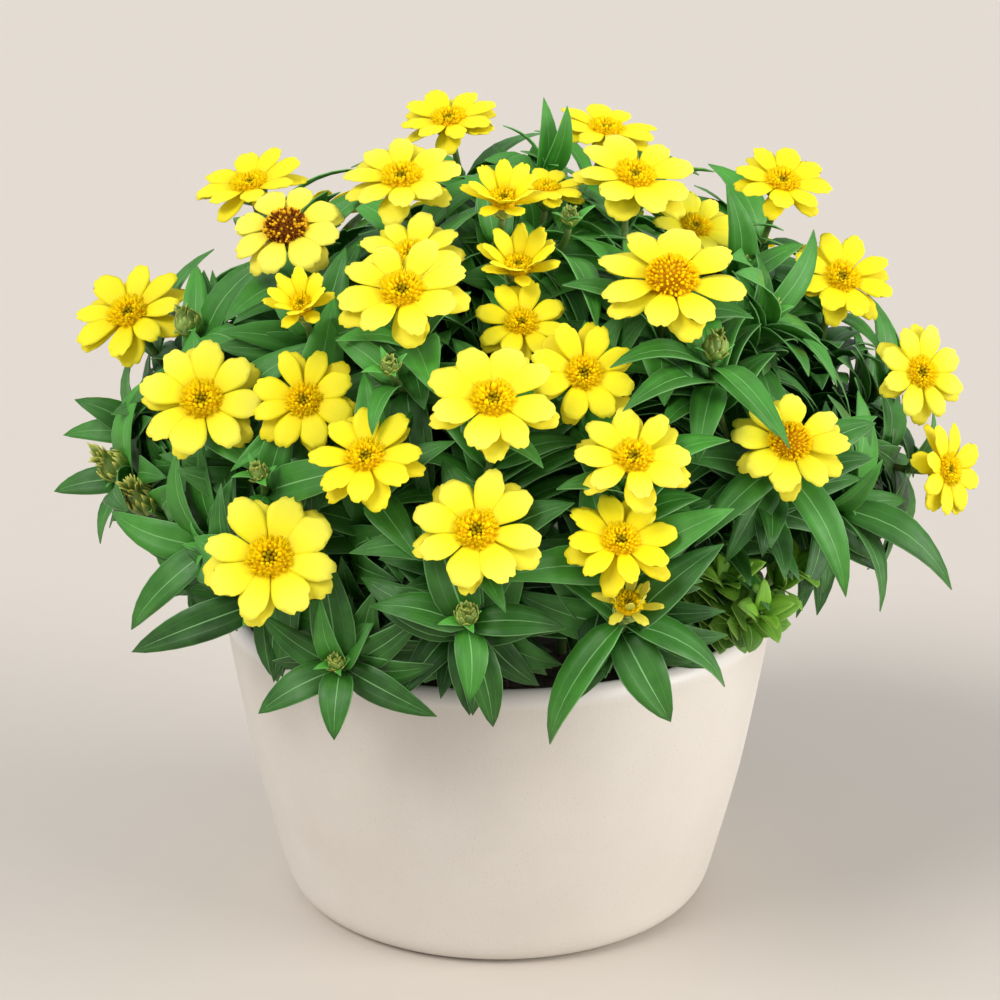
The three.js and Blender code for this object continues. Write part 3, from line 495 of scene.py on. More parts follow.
def swept(rings: Sequence[Point]) -> BMesh:
    """A closed tube through rings of corners, each given as an array of points."""
    bm = new_sheet()
    made = bmesh.ops.create_circle(bm, segments=len(rings[0]), radius=1.0, cap_ends=False)
    order = {vertex: i for i, vertex in enumerate(made["verts"])}
    for vertex, i in order.items():
        vertex.co = rings[0][i]
    edges = first = list(bm.edges)
    for ring in rings[1:]:
        geom = bmesh.ops.extrude_edge_only(bm, edges=edges)["geom"]
        grown = [item for item in geom if isinstance(item, bmesh.types.BMVert)]
        edges = [item for item in geom if isinstance(item, bmesh.types.BMEdge)]
        order = {vertex: order[edge.other_vert(vertex)] for vertex in grown
                 for edge in vertex.link_edges if edge.other_vert(vertex) in order}
        for vertex, i in order.items():
            vertex.co = ring[i]
    bmesh.ops.edgeloop_fill(bm, edges=first)
    bmesh.ops.edgeloop_fill(bm, edges=edges)
    bmesh.ops.recalc_face_normals(bm, faces=bm.faces)
    return bm


class Wiring:
    """A material's node tree under construction."""

    def __init__(self, name: str) -> None:
        """Starts a material that holds one principled shader."""
        self.material = bpy.data.materials.new(name)
        self.material.use_nodes = True
        self.nodes = self.material.node_tree.nodes
        self.shader = self.nodes["Principled BSDF"]

    def link(self, output: Socket, target: Socket) -> None:
        """Joins an output to an input."""
        self.material.node_tree.links.new(output, target)

    def feed(self, target: Socket, value: object) -> None:
        """Joins a socket to a value, or sets the value on it."""
        if isinstance(value, Socket):
            self.link(value, target)
        else:
            target.default_value = value

    def math(self, operation: str, a: object, b: object = 0.0) -> Socket:
        """The result of one sum on numbers or sockets."""
        node = self.nodes.new("ShaderNodeMath")
        node.operation = operation
        for target, value in zip(node.inputs, (a, b)):
            self.feed(target, value)
        return node.outputs[0]

    def times(self, a: object, b: object) -> Socket:
        """One number or socket times another."""
        return self.math("MULTIPLY", a, b)

    def away_from(self, value: object, place: float) -> Socket:
        """How far a value is from a place, on either side of it."""
        return self.math("ABSOLUTE", self.math("SUBTRACT", value, place))

    def attribute(self, name: str) -> Socket:
        """The value of a corner attribute."""
        node = self.nodes.new("ShaderNodeAttribute")
        node.attribute_name = name
        return node.outputs["Fac"]

    def object_place(self) -> Socket:
        """The place on the object in metres."""
        return self.nodes.new("ShaderNodeTexCoord").outputs["Object"]

    def blade_place(self) -> tuple[Socket, Socket]:
        """The places across and along a blade, each from 0 to 1."""
        node = self.nodes.new("ShaderNodeUVMap")
        node.uv_map = "blade"
        split = self.nodes.new("ShaderNodeSeparateXYZ")
        self.link(node.outputs["UV"], split.inputs[0])
        return split.outputs[0], split.outputs[1]

    def height(self) -> Socket:
        """The height on the object in metres."""
        split = self.nodes.new("ShaderNodeSeparateXYZ")
        self.link(self.object_place(), split.inputs[0])
        return split.outputs[2]

    def noise(self, scale: float, detail: float = 2.0) -> Socket:
        """A cloudy pattern on the object."""
        node = self.nodes.new("ShaderNodeTexNoise")
        self.link(self.object_place(), node.inputs["Vector"])
        node.inputs["Scale"].default_value = scale
        node.inputs["Detail"].default_value = detail
        return node.outputs["Fac"]

    def ramp(self, value: Socket,
             stops: Sequence[tuple[float, Sequence[float]]]) -> Socket:
        """A colour from a value through stops of place and colour."""
        node = self.nodes.new("ShaderNodeValToRGB")
        ramp = node.color_ramp
        while len(ramp.elements) < len(stops):
            ramp.elements.new(1.0)
        for element, (place, colour) in zip(ramp.elements, stops):
            element.position = place
            element.color = (*colour, 1.0)
        self.link(value, node.inputs[0])
        return node.outputs[0]

    def mix(self, share: object, a: object, b: object) -> Socket:
        """A mixture of two colours."""
        node = self.nodes.new("ShaderNodeMix")
        node.data_type = "RGBA"
        self.feed(node.inputs[0], share)
        for target, value in ((node.inputs[6], a), (node.inputs[7], b)):
            self.feed(target, (*value, 1.0) if isinstance(value, tuple) else value)
        return node.outputs[2]

    def span(self, value: object, low: float, high: float, first: float = 0.0,
             last: float = 1.0) -> Socket:
        """A value carried from one range to another, held at its ends."""
        node = self.nodes.new("ShaderNodeMapRange")
        for target, number in zip(node.inputs, (value, low, high, first, last)):
            self.feed(target, number)
        return node.outputs[0]

    def bump(self, height: Socket, strength: float, distance: float) -> None:
        """Raises the surface by a height pattern, with the distance in millimetres."""
        node = self.nodes.new("ShaderNodeBump")
        node.inputs["Strength"].default_value = strength
        node.inputs["Distance"].default_value = distance * MM
        self.link(height, node.inputs["Height"])
        self.link(node.outputs[0], self.shader.inputs["Normal"])

    def dress(self, colour: object, roughness: object) -> Material:
        """Gives the shader its colour and roughness, and hands the material over."""
        self.feed(self.shader.inputs["Base Color"], colour)
        self.feed(self.shader.inputs["Roughness"], roughness)
        return self.material


def screen_colour(red: int, green: int, blue: int) -> Colour:
    """A colour given as it shows on a screen, 0 to 255, as linear light."""
    def linear(value: int) -> float:
        """One channel as linear light."""
        share = value / 255
        return share / 12.92 if share <= 0.04045 else ((share + 0.055) / 1.055) ** 2.4
    return linear(red), linear(green), linear(blue)


@dataclass(frozen=True)
class Stoneware:
    """Matte cream stoneware, faintly mottled, with fine grain and a smoother rim."""

    body: Colour = screen_colour(212, 205, 196)
    cloud: Colour = screen_colour(204, 196, 186)
    speck: Colour = screen_colour(176, 163, 148)
    rim: Colour = screen_colour(218, 212, 205)
    rim_height: float = 0.1305
    rim_fade: float = 0.004
    cloud_scale: float = 14.0
    speck_scale: float = 1500.0
    fine_grain: float = 900.0
    coarse_grain: float = 160.0
    body_roughness: float = 0.62
    rim_roughness: float = 0.34

    def build(self) -> Material:
        """The material of the pot."""
        w = Wiring("cream_stoneware")
        clouds = w.span(w.noise(self.cloud_scale, 4), 0.35, 0.7)
        base = w.mix(clouds, self.body, self.cloud)
        specks = w.span(w.noise(self.speck_scale), 0.66, 0.74, 0.0, 0.75)
        base = w.mix(specks, base, self.speck)
        rim = w.span(w.height(), self.rim_height, self.rim_height + self.rim_fade)
        base = w.mix(rim, base, self.rim)
        coarse = w.times(w.noise(self.coarse_grain, 3), 0.6)
        w.bump(w.math("ADD", w.noise(self.fine_grain, 3), coarse), 0.35, 0.25)
        return w.dress(base, w.span(rim, 0.0, 1.0, self.body_roughness, self.rim_roughness))


@dataclass(frozen=True)
class PottingSoil:
    """Dark crumbly soil with paler fibres."""

    dark: Colour = screen_colour(38, 26, 20)
    pale: Colour = screen_colour(84, 62, 46)
    fibre_scale: float = 420.0
    crumb_scale: float = 900.0
    roughness: float = 0.95

    def build(self) -> Material:
        """The material of the soil."""
        w = Wiring("potting_soil")
        base = w.mix(w.span(w.noise(self.fibre_scale, 5), 0.4, 0.7), self.dark, self.pale)
        w.bump(w.noise(self.crumb_scale, 4), 0.8, 0.8)
        return w.dress(base, self.roughness)


@dataclass(frozen=True)
class PetalFinish:
    """The skin of a ray petal: lemon toward the tip, deeper at the base, with fine creases and
    painted shade.
    """

    name: str
    tip: Colour
    middle: Colour
    base: Colour
    shade: Colour
    middle_place: float = 0.34
    shading: float = 0.7
    creases: float = 34.0
    crease_strength: float = 0.14
    glow: float = 0.25
    glow_reach: float = 0.0012
    gloss: float = 0.25
    roughness: float = 0.6

    def build(self) -> Material:
        """The material of the petals of one kind of head."""
        w = Wiring(self.name)
        across, along = w.blade_place()
        stops = [(0.0, self.base), (self.middle_place, self.middle), (1.0, self.tip)]
        # Painted shade: the shade colour goes on by tone, strongly on the lower petals, which lie
        # under the upper layer, and a little at random on the upper ones.
        shaded = w.span(w.attribute("tone"), 0.0, 1.0, 0.0, self.shading)
        colour = w.mix(shaded, w.ramp(along, stops), self.shade)
        lines = w.math("ABSOLUTE", w.math("SINE", w.times(across, self.creases)))
        faint = w.times(lines, w.noise(260))
        colour = w.mix(w.times(faint, self.crease_strength), colour, self.middle)
        w.bump(lines, 0.16, 0.12)
        w.shader.inputs["Subsurface Weight"].default_value = self.glow
        w.shader.inputs["Subsurface Radius"].default_value = (1.0, 0.9, 0.2)
        w.shader.inputs["Subsurface Scale"].default_value = self.glow_reach
        w.shader.inputs["Specular IOR Level"].default_value = self.gloss
        return w.dress(colour, self.roughness)


@dataclass(frozen=True)
class FloretFinish:
    """The florets of a disc, from the ring at its edge to the buds in its middle, with painted
    shade low down.
    """

    name: str
    lobe: Colour
    ring: Colour
    heart: Colour
    gap: Colour
    shadow: float = 0.45
    cloud_scale: float = 900.0
    grain_scale: float = 2400.0
    gloss: float = 0.08
    roughness: float = 0.7

    def build(self) -> Material:
        """The material of the disc of one kind of head."""
        w = Wiring(self.name)
        tone, lift = w.attribute("tone"), w.attribute("lift")
        bright = w.mix(w.span(lift, 0.35, 0.7, 0.0, 0.9), self.ring, self.lobe)
        # Painted shade: the gap colour darkens the feet of the open florets, where they stand close
        # together.
        low = w.times(w.span(lift, 0.0, 0.3, 1.0, 0.0), w.span(tone, 0.7, 1.0, 0.2, 0.9))
        bright = w.mix(low, bright, self.gap)
        heart = w.mix(w.span(lift, 0.0, 0.6, 0.5, 0.0), self.heart,
                      tuple(self.shadow * channel for channel in self.heart))
        colour = w.mix(w.span(tone, 0.08, 0.62), heart, bright)
        colour = w.mix(w.times(w.noise(self.cloud_scale), 0.35), colour, self.ring)
        w.bump(w.noise(self.grain_scale), 0.3, 0.15)
        w.shader.inputs["Specular IOR Level"].default_value = self.gloss
        return w.dress(colour, self.roughness)


@dataclass(frozen=True)
class LeafFinish:
    """A satin leaf with a pale midrib, two side veins, a paler edge of painted rim light, and
    painted shade by tone.
    """

    name: str
    deep: Colour
    lit_green: Colour
    rib_and_rim_light: Colour
    roughness: float = 0.42
    streaks: float = 260.0
    rib_width: tuple[float, float] = (0.031, 0.01)
    rib_strength: float = 0.78
    side_vein: float = 0.245
    side_strength: float = 0.12
    rim_light_start: float = 0.472
    rim_light_strength: float = 0.5
    gloss: float = 0.36

    def build(self) -> Material:
        """The material of the leaves."""
        w = Wiring(self.name)
        across, along = w.blade_place()
        off = w.away_from(across, 0.5)
        # Painted shade: a low tone mixes in the deep green, on leaves that stand low or inside the
        # bush; the cloud and the spread of the tone differ at random.
        cloud = w.math("SUBTRACT", w.times(w.noise(90, 3), 0.5), 0.12)
        share = w.math("ADD", w.times(w.attribute("tone"), 0.75), cloud)
        colour = w.mix(w.span(share, 0.0, 1.0), self.deep, self.lit_green)
        width = w.span(along, 0.0, 1.0, *self.rib_width)
        midrib = w.span(w.math("DIVIDE", off, width), 0.35, 1.0, 1.0, 0.0)
        drawn = w.times(w.span(along, 0.0, 0.95, 1.0, 0.2), w.away_from(off, self.side_vein))
        side = w.span(drawn, 0.0, 0.014, self.side_strength, 0.0)
        # Painted rim light: the last sliver of the edge is mixed toward the pale vein colour.
        edge = w.span(off, self.rim_light_start, 0.5, 0.0, self.rim_light_strength)
        veins = w.math("MAXIMUM", w.times(midrib, self.rib_strength),
                       w.math("MAXIMUM", side, edge))
        slant = w.math("ADD", off, w.times(along, 0.12))
        streaks = w.math("SINE", w.times(slant, self.streaks))
        fine = w.times(w.span(streaks, 0.3, 1.0), w.span(w.noise(60), 0.4, 0.7, 0.0, 0.16))
        colour = w.mix(w.math("MAXIMUM", veins, fine), colour, self.rib_and_rim_light)
        w.bump(w.math("SUBTRACT", w.times(streaks, 0.12), w.times(midrib, 0.9)), 0.45, 0.22)
        w.shader.inputs["Specular IOR Level"].default_value = self.gloss
        rough = w.span(w.noise(300), 0.3, 0.7, self.roughness - 0.05, self.roughness + 0.1)
        return w.dress(colour, rough)


@dataclass(frozen=True)
class StalkFinish:
    """The skin of stalks, calyxes and buds, faintly streaked."""

    name: str
    pale: Colour
    deep: Colour
    tip: Colour
    rim: float = 0.0
    streak_scale: float = 220.0
    grain_scale: float = 1300.0
    roughness: float = 0.5

    def build(self) -> Material:
        """The material of the stalks or of the scales."""
        w = Wiring(self.name)
        colour = w.mix(w.span(w.noise(self.streak_scale, 3), 0.35, 0.7), self.pale, self.deep)
        colour = w.mix(w.span(w.attribute("tone"), 0.5, 1.0, 0.0, 0.7), colour, self.deep)
        across, _ = w.blade_place()
        rim = w.math("MAXIMUM", w.span(w.attribute("lift"), 0.7, 1.0, 0.0, 0.85),
                     w.span(w.away_from(across, 0.5), 0.36, 0.5, 0.0, self.rim))
        colour = w.mix(rim, colour, self.tip)
        w.bump(w.noise(self.grain_scale), 0.3, 0.2)
        return w.dress(colour, self.roughness)


@dataclass(frozen=True)
class StudioFloor:
    """A plain pale floor with the faintest grain."""

    tint: Colour = screen_colour(202, 193, 183)
    shadow: float = 0.86
    cloud_scale: float = 70.0
    grain_scale: float = 260.0
    roughness: float = 0.7

    def build(self) -> Material:
        """The material of the floor."""
        w = Wiring("studio_floor")
        base = w.mix(w.times(w.noise(self.cloud_scale, 4), 0.16), self.tint,
                     tuple(self.shadow * channel for channel in self.tint))
        w.bump(w.noise(self.grain_scale, 3), 0.12, 0.4)
        return w.dress(base, self.roughness)


@dataclass
class Pot:
    """The bowl pot, turned from one smooth profile."""

    steps: int = 128
    wall_parts: int = 6
    rim_parts: int = 4

    def build(self) -> None:
        """Turns the pot and gives it its finish."""
        wall = smooth_line(POT_OUTSIDE, self.wall_parts)
        rim = smooth_line(POT_RIM, self.rim_parts)
        inside = smooth_line(POT_INSIDE, self.rim_parts)
        profile = [*POT_FOOT, *wall[1:], *rim[1:], *inside[1:], (0, inside[-1][1])]
        bm = new_sheet()
        pour(bm, turned(profile, self.steps), 0.0)
        finish_mesh(bm, "bowl_pot", [Stoneware().build()], ["pot"])


@dataclass
class Soil:
    """The filling of the pot, with a crumbly top."""

    radius: float = 113.6
    top: float = 121.0
    depth: float = 20.0
    mound: float = 4.0
    unevenness: float = 1.2
    grain: float = 0.16
    steps: int = 72
    cuts: int = 14
    crumbs: int = 420
    crumb_sizes: tuple[float, float] = (0.8, 2.6)
    seed: int = 5

    def level(self, x: float, y: float) -> float:
        """The height of the top at a place, mounded and uneven."""
        share = math.hypot(x, y) / self.radius
        rough = noise.noise(Vector((x, y, 3.0)) * self.grain) * self.unevenness
        return self.top + self.mound * (1 - share**2) + rough

    def build(self) -> None:
        """Makes the filling and its crumbs."""
        bm = new_sheet()
        low = self.top - self.depth
        profile = [(0, low), (self.radius - 4, low), (self.radius, self.top), (0, self.top)]
        body = turned(profile, self.steps)
        upper = [e for e in body.edges if all(v.co.z > self.top - 1 for v in e.verts)]
        bmesh.ops.subdivide_edges(body, edges=upper, cuts=self.cuts, use_grid_fill=True)
        for vertex in body.verts:
            if vertex.co.z > self.top - 1:
                vertex.co.z = self.level(vertex.co.x, vertex.co.y)
        bmesh.ops.recalc_face_normals(body, faces=body.faces)
        pour(bm, body, 0.5)
        crumb = new_sheet()
        bmesh.ops.create_icosphere(crumb, subdivisions=1, radius=1.0)
        stamp = Stamp(crumb, "crumb")
        rng = random.Random(self.seed)
        for _ in range(self.crumbs):
            angle, far = rng.uniform(0, 2 * math.pi), (self.radius - 3) * math.sqrt(rng.random())
            x, y = far * math.cos(angle), far * math.sin(angle)
            size = rng.uniform(*self.crumb_sizes)
            lean = Matrix.Rotation(rng.uniform(0, 3), 4, Vector((rng.random(), 1, 0.4)))
            place = Matrix.Translation((x, y, self.level(x, y) + size * 0.2))
            shape = Matrix.Diagonal((size, size * rng.uniform(0.6, 1), size * 0.7, 1))
            stamp.press_at(bm, place @ lean @ shape, rng.random())
        finish_mesh(bm, "potting_soil", [PottingSoil().build()], ["soil"])


class Head:
    """The axes and sizes that place one flower head, and the bends of its petals."""

    PETAL_THICKNESS = 0.7
    PETAL_REACH = 1.06
    LAYER_GAP = 0.8
    BREADTHS = {4: 0.4, 5: 0.33}
    TIP_WIDTH = 0.52
    LOWER_WIDTH = 0.9
    LOWER_LENGTH = 0.97
    SPIN = 2.4

    def __init__(self, row: tuple, order: int, cad: CadCorners) -> None:
        """Places a head and finds out how its petals are bent in the CAD node."""
        self.name, seat, rise, turn, self.radius, self.petals, self.kind = row
        self.shape = KIND_SHAPES[self.kind]
        self.tall = self.kind in (Kind.CONE, Kind.OLD)
        self.at_back = self.name.startswith("k")
        self.seat = np.array(seat, dtype=float)
        self.axis = heading(rise, turn)
        self.across = unit(np.cross(UP, self.axis))
        self.over = np.cross(self.axis, self.across)
        self.hub = self.radius * self.shape.disc
        self.spin = order * self.SPIN
        self.order = order
        self.bends = {
            upper: [self.find_bend(cad, upper, i) for i in range(self.petals)]
            for upper in (True, False)
        }

    def floor(self, upper: bool) -> float:
        """The height of the foot of a layer above the seat."""
        return 2 * self.PETAL_THICKNESS + self.LAYER_GAP if upper else self.PETAL_THICKNESS

    def half_width(self, upper: bool) -> float:
        """Half the width of a CAD petal."""
        breadth = self.BREADTHS[self.petals] * self.shape.breadth
        return self.radius * breadth * (1 if upper else self.LOWER_WIDTH)

    def blade(self, upper: bool, middle: float, bend: tuple[float, float],
              share: Point, side: Point, raised: Point) -> Point:
        """Points of a petal.

        Args:
            upper: Whether the petal belongs to the upper layer.
            middle: The angle of its midline round the axis, in radians.
            bend: Its bend in degrees and the share of its length that it keeps.
            share: Shares of its length, one for each point.
            side: Distances from the midline.
            raised: Heights above its own plane.

        Returns:
            One row for each point, in millimetres.
        """
        foot, tip = self.shape.upper if upper else self.shape.lower
        lean = bend[0] if upper else -bend[0]
        full = (self.radius - self.hub) * self.PETAL_REACH
        length = full * bend[1] * (1 if upper else self.LOWER_LENGTH)
        angle = np.radians(foot + lean + ((tip - foot) * share) / 2)
        out = self.hub * math.cos(math.pi / self.petals) + length * share * np.cos(angle)
        height = self.floor(upper) + raised + length * share * np.sin(angle)
        ray = self.across * math.cos(middle) + self.over * math.sin(middle)
        beside = self.over * math.cos(middle) - self.across * math.sin(middle)
        return (self.seat + np.outer(out, ray) + np.outer(side, beside)
                + np.outer(height, self.axis))

    def middle(self, upper: bool, number: int, count: int) -> float:
        """The angle of a petal's midline, in radians, in a layer of a count of petals."""
        step = 2 * math.pi / count
        return self.spin + number * step + (step / 2 if upper else step)

    def find_bend(self, cad: CadCorners, upper: bool, number: int) -> tuple[float, float]:
        """The bend of one petal of the CAD node."""
        middle = self.middle(upper, number, self.petals)
        narrow = self.half_width(upper) * self.TIP_WIDTH
        for bend in PETAL_BENDS:
            tips = self.blade(upper, middle, bend, np.ones(2), np.array([-narrow, narrow]),
                              np.zeros(2))
            if all(cad.has(tip) for tip in tips):
                return bend
        LOG.warning("%s: a petal of the CAD node was not found", self.name)
        return PETAL_BENDS[-1]

    def bend_at(self, upper: bool, angle: float) -> tuple[float, float]:
        """The bend at an angle, between those of the two CAD petals beside it."""
        step = 2 * math.pi / self.petals
        place = (angle - self.middle(upper, 0, self.petals)) / step
        before = math.floor(place)
        share = place - before
        first, second = (self.bends[upper][i % self.petals] for i in (before, before + 1))
        return tuple(a + (b - a) * share for a, b in zip(first, second))

    def matrix(self, angle: float, distance: float, height: float, lean: float,
               size: float) -> Matrix:
        """The matrix that stands a template on the disc.

        Args:
            angle: The angle round the axis, in radians.
            distance: The distance from the axis.
            height: The height above the seat.
            lean: How far the template leans outward, in radians.
            size: The size of the template.

        Returns:
            The matrix in millimetres.
        """
        ray = self.across * math.cos(angle) + self.over * math.sin(angle)
        up = unit(self.axis * math.cos(lean) + ray * math.sin(lean))
        aside = np.cross(self.axis, ray)
        place = self.seat + ray * distance + self.axis * height
        return frame_matrix(place, np.cross(aside, up), aside, up, size)


@dataclass
class FlowerHeads:
    """All flower heads: ray petals in two layers and a disc of small florets."""

    heads: list[Head]
    petal: Stamp
    seed: int = 17
    upper: int = 8
    upper_faded: int = 6
    lower: dict[int, int] = field(default_factory=lambda: {4: 6, 5: 5})
    half_widths: dict[int, float] = field(default_factory=lambda: {4: 0.234, 5: 0.264})
    slimness: dict[Kind, float] = field(
        default_factory=lambda: {Kind.HALF: 0.86, Kind.FADED: 0.62})
    foot_width: float = 0.38
    foot_width_tall: float = 0.3
    broadest: float = 0.62
    tip_narrowing: float = 0.24
    tooth_depth: float = 0.036
    pleat_height: float = 0.10
    overlap: float = 0.25
    lower_reach: float = 1.07
    thickness: float = 0.22
    disc_steps: int = 20
    disc_shares: tuple[float, ...] = (0.94, 0.84, 0.72, 0.6, 0.48, 0.36, 0.2, 0.1)
    sink: float = 0.3
    florets: int = 78
    tall_crowding: float = 2.4
    golden_angle: float = 2.399963
    heart: float = 0.42

    def finishes(self) -> None:
        """Builds the skins of petals and florets and shares them among the kinds."""
        self.deep_skin = PetalFinish("deep_petals", screen_colour(252, 238, 44),
                                     screen_colour(250, 230, 6), screen_colour(243, 198, 0),
                                     screen_colour(226, 200, 0)).build()
        lemon = PetalFinish("lemon_petals", screen_colour(250, 241, 86),
                            screen_colour(250, 236, 28), screen_colour(246, 206, 2),
                            screen_colour(230, 208, 0)).build()
        old = PetalFinish("mature_petals", screen_colour(252, 243, 92),
                          screen_colour(250, 234, 66), screen_colour(236, 198, 30),
                          screen_colour(236, 216, 60)).build()
        faded = PetalFinish("withered_petals", screen_colour(238, 228, 92),
                            screen_colour(206, 202, 66), screen_colour(150, 156, 52),
                            screen_colour(190, 176, 36)).build()
        gold = FloretFinish("golden_florets", screen_colour(255, 226, 0),
                            screen_colour(255, 212, 0), screen_colour(92, 82, 0),
                            screen_colour(226, 146, 0)).build()
        cone = FloretFinish("orange_florets", screen_colour(255, 220, 0),
                            screen_colour(254, 202, 0), screen_colour(240, 180, 0),
                            screen_colour(170, 104, 0)).build()
        brown = FloretFinish("brown_florets", screen_colour(255, 204, 34),
                             screen_colour(212, 128, 18), screen_colour(92, 46, 12),
                             screen_colour(60, 26, 8)).build()
        self.petal_skins = dict.fromkeys(Kind, lemon) | {Kind.OLD: old, Kind.FADED: faded}
        self.disc_skins = dict.fromkeys(Kind, gold) | {Kind.CONE: cone, Kind.OLD: brown}

    def ray(self, bm: BMesh, head: Head, upper: bool, number: int, count: int,
            rng: random.Random) -> None:
        """Presses one ray petal into the mesh of a head.

        Args:
            bm: The mesh of the petals.
            head: The head that carries the petal.
            upper: Whether the petal belongs to the upper layer.
            number: Its number in its layer.
            count: The petals in its layer.
            rng: The source of its small differences.
        """
        u, v = self.petal.grid()
        middle = head.middle(upper, number, count) + rng.uniform(-0.1, 0.1)
        bend, reach = head.bend_at(upper, middle)
        bend += rng.uniform(-5, 5)
        reach *= rng.uniform(0.98, 1.08) * (1.0 if upper else self.lower_reach)
        half = head.radius * self.half_widths[head.petals] * rng.uniform(0.8, 1.12)
        half *= self.slimness.get(head.kind, 1.0)
        narrow = self.foot_width_tall if head.tall else self.foot_width
        grown = np.sin(np.clip(v / self.broadest, 0, 1) * math.pi / 2) ** 1.2
        past = np.clip(v - self.broadest, 0, 1) / (1 - self.broadest)
        swell = np.where(v < self.broadest, narrow + (1 - narrow) * grown,
                         1 - self.tip_narrowing * past**2)
        notch = rng.uniform(0.6, 2.2) * np.exp(-((u - rng.uniform(-0.3, 0.3)) / 0.22) ** 2)
        teeth = self.tooth_depth * (notch + 0.5 - 0.5 * np.cos(3 * math.pi * u))
        rounded = rng.uniform(0.17, 0.24) * np.abs(u) ** 2.7
        share = v * (1 - (rounded + teeth) * v**3)
        side = -u * half * swell
        pleat = np.cos(3 * math.pi * u) * np.sin(math.pi * np.clip(v * 1.1, 0, 1))
        arch = rng.uniform(0.02, 0.14) * half * (1 - u**2) * np.sin(math.pi * v) ** 0.7
        twist = math.tan(0.05 + rng.uniform(-0.13, 0.13)) * side * v
        curl = rng.uniform(-0.05, 0.03) * head.radius * v**3
        overlap = self.overlap if number % 2 else 0.0
        raised = self.pleat_height * pleat + arch + twist + curl + overlap
        points = head.blade(upper, middle, (bend, reach), share, side, raised)
        # The lower layer's higher tone paints shade on it under the upper layer; the rest of the
        # tone differs at random.
        tone = rng.uniform(0, 0.4) + (0.0 if upper else 0.6)
        self.petal.press(bm, points, tone, v)

    def petals(self, head: Head) -> None:
        """Makes the petals of a head, one piece."""
        rng = random.Random(self.seed * 100 + head.order)
        bm = new_sheet()
        upper = self.upper_faded if head.kind is Kind.FADED else self.upper
        for is_upper, count in ((True, upper), (False, self.lower[head.petals])):
            for i in range(count):
                self.ray(bm, head, is_upper, i, count, rng)
        skin = self.deep_skin if head.name in DEEP_HEADS else self.petal_skins[head.kind]
        finish_mesh(bm, f"petals_{head.name}", [skin], [f"bloom_{head.name}"],
                    self.thickness)

    def star(self) -> Stamp:
        """The template of an open floret: a tube with five pointed lobes and a style."""
        bm = new_sheet()
        bmesh.ops.create_cone(bm, cap_ends=True, segments=10, radius1=0.2, radius2=0.42,
                              depth=2.4)
        rim = sorted((v for v in bm.verts if v.co.z > 0),
                     key=lambda vertex: math.atan2(vertex.co.y, vertex.co.x))
        for i, vertex in enumerate(rim):
            reach, rise = (2.1, 0.5) if i % 2 else (0.75, -0.6)
            vertex.co.x *= reach
            vertex.co.y *= reach
            vertex.co.z += rise
        top = [face for face in bm.faces if all(v.co.z > 0 for v in face.verts)]
        bottom = [face for face in bm.faces if all(v.co.z < 0 for v in face.verts)]
        bmesh.ops.inset_region(bm, faces=top, thickness=0.12)
        for vertex in {v for face in top for v in face.verts}:
            flat = vertex.co.to_2d().normalized() * 0.15
            vertex.co = (*flat, 0.4)
        bmesh.ops.poke(bm, faces=top, offset=1.2)
        bmesh.ops.delete(bm, geom=bottom, context="FACES_ONLY")
        return Stamp(bm, "open_floret")

    def club(self, radius: float, tip: float) -> Stamp:
        """The template of a closed floret: a short rod, thicker and pointed at its top."""
        bm = new_sheet()
        bmesh.ops.create_cone(bm, cap_ends=True, segments=6, radius1=radius * 0.7,
                              radius2=radius, depth=2.0)
        top = [face for face in bm.faces if all(v.co.z > 0 for v in face.verts)]
        bmesh.ops.inset_region(bm, faces=top, thickness=radius * 0.35, depth=tip)
        bmesh.ops.poke(bm, faces=top, offset=tip * 0.5)
        return Stamp(bm, "closed_floret")

    def bed(self, head: Head, share: float) -> float:
        """The height above the seat on which a floret stands, at a share of the disc's radius."""
        rise, floor = head.radius * head.shape.dome, head.floor(True)
        if head.tall:
            return floor + (rise - 0.8) * math.cos(share * math.pi / 2)
        if share < self.heart:
            return floor + 0.2 + share
        return floor + 0.3 + 0.4 * rise * (1 - ((share - 0.62) / 0.4) ** 2)

    def disc(self, head: Head, star: Stamp, club: Stamp, bud: Stamp) -> None:
        """Makes the disc of a head, one piece: a bed set with florets.

        Args:
            head: The head that carries the disc.
            star: The template of an open floret.
            club: The template of a closed floret.
            bud: The template of a floret in the middle of a young disc.
        """
        rng = random.Random(self.seed * 200 + head.order)
        bm = new_sheet()
        bed = [(head.hub * share, self.bed(head, share) - self.sink)
               for share in (*self.disc_shares, 0.0)]
        under = [(0, -0.2), (head.hub * 0.8, -0.2), (head.hub * 0.96, 0.6)]
        body = turned([*under, *bed], self.disc_steps)
        matrix = frame_matrix(head.seat, head.across, head.over, head.axis, 1.0)
        bmesh.ops.transform(body, matrix=matrix, verts=body.verts)
        pour(bm, body, {Kind.CONE: 1.0, Kind.OLD: 0.0}.get(head.kind, 0.5))
        count = int(self.florets * (self.tall_crowding if head.tall else 1.0))
        spacing = head.hub / math.sqrt(count)
        for i in range(count):
            share = math.sqrt((i + 0.5) / count)
            angle = i * self.golden_angle + head.spin + rng.uniform(-0.1, 0.1)
            lean = share * (1.3 if head.tall else 0.95) + rng.uniform(-0.3, 0.3)
            size = spacing * rng.uniform(1.0, 1.75)
            tone, stamp = 1.0 - 0.35 * rng.random(), star
            if head.tall:
                reach = 1.02 if head.kind is Kind.CONE else 0.92
                out = head.hub * math.sin(share * math.pi / 2) * reach
                stamp = star if rng.random() < 0.5 else club
                if head.kind is Kind.OLD and rng.random() < 0.55:
                    tone, stamp, size = 0.0, club, size * 0.8
            else:
                out = head.hub * share * 1.1
                if share < self.heart:
                    tone, stamp, size = 0.6 * (share / self.heart) ** 2, bud, spacing * 1.1
                elif share < self.heart + 0.1:
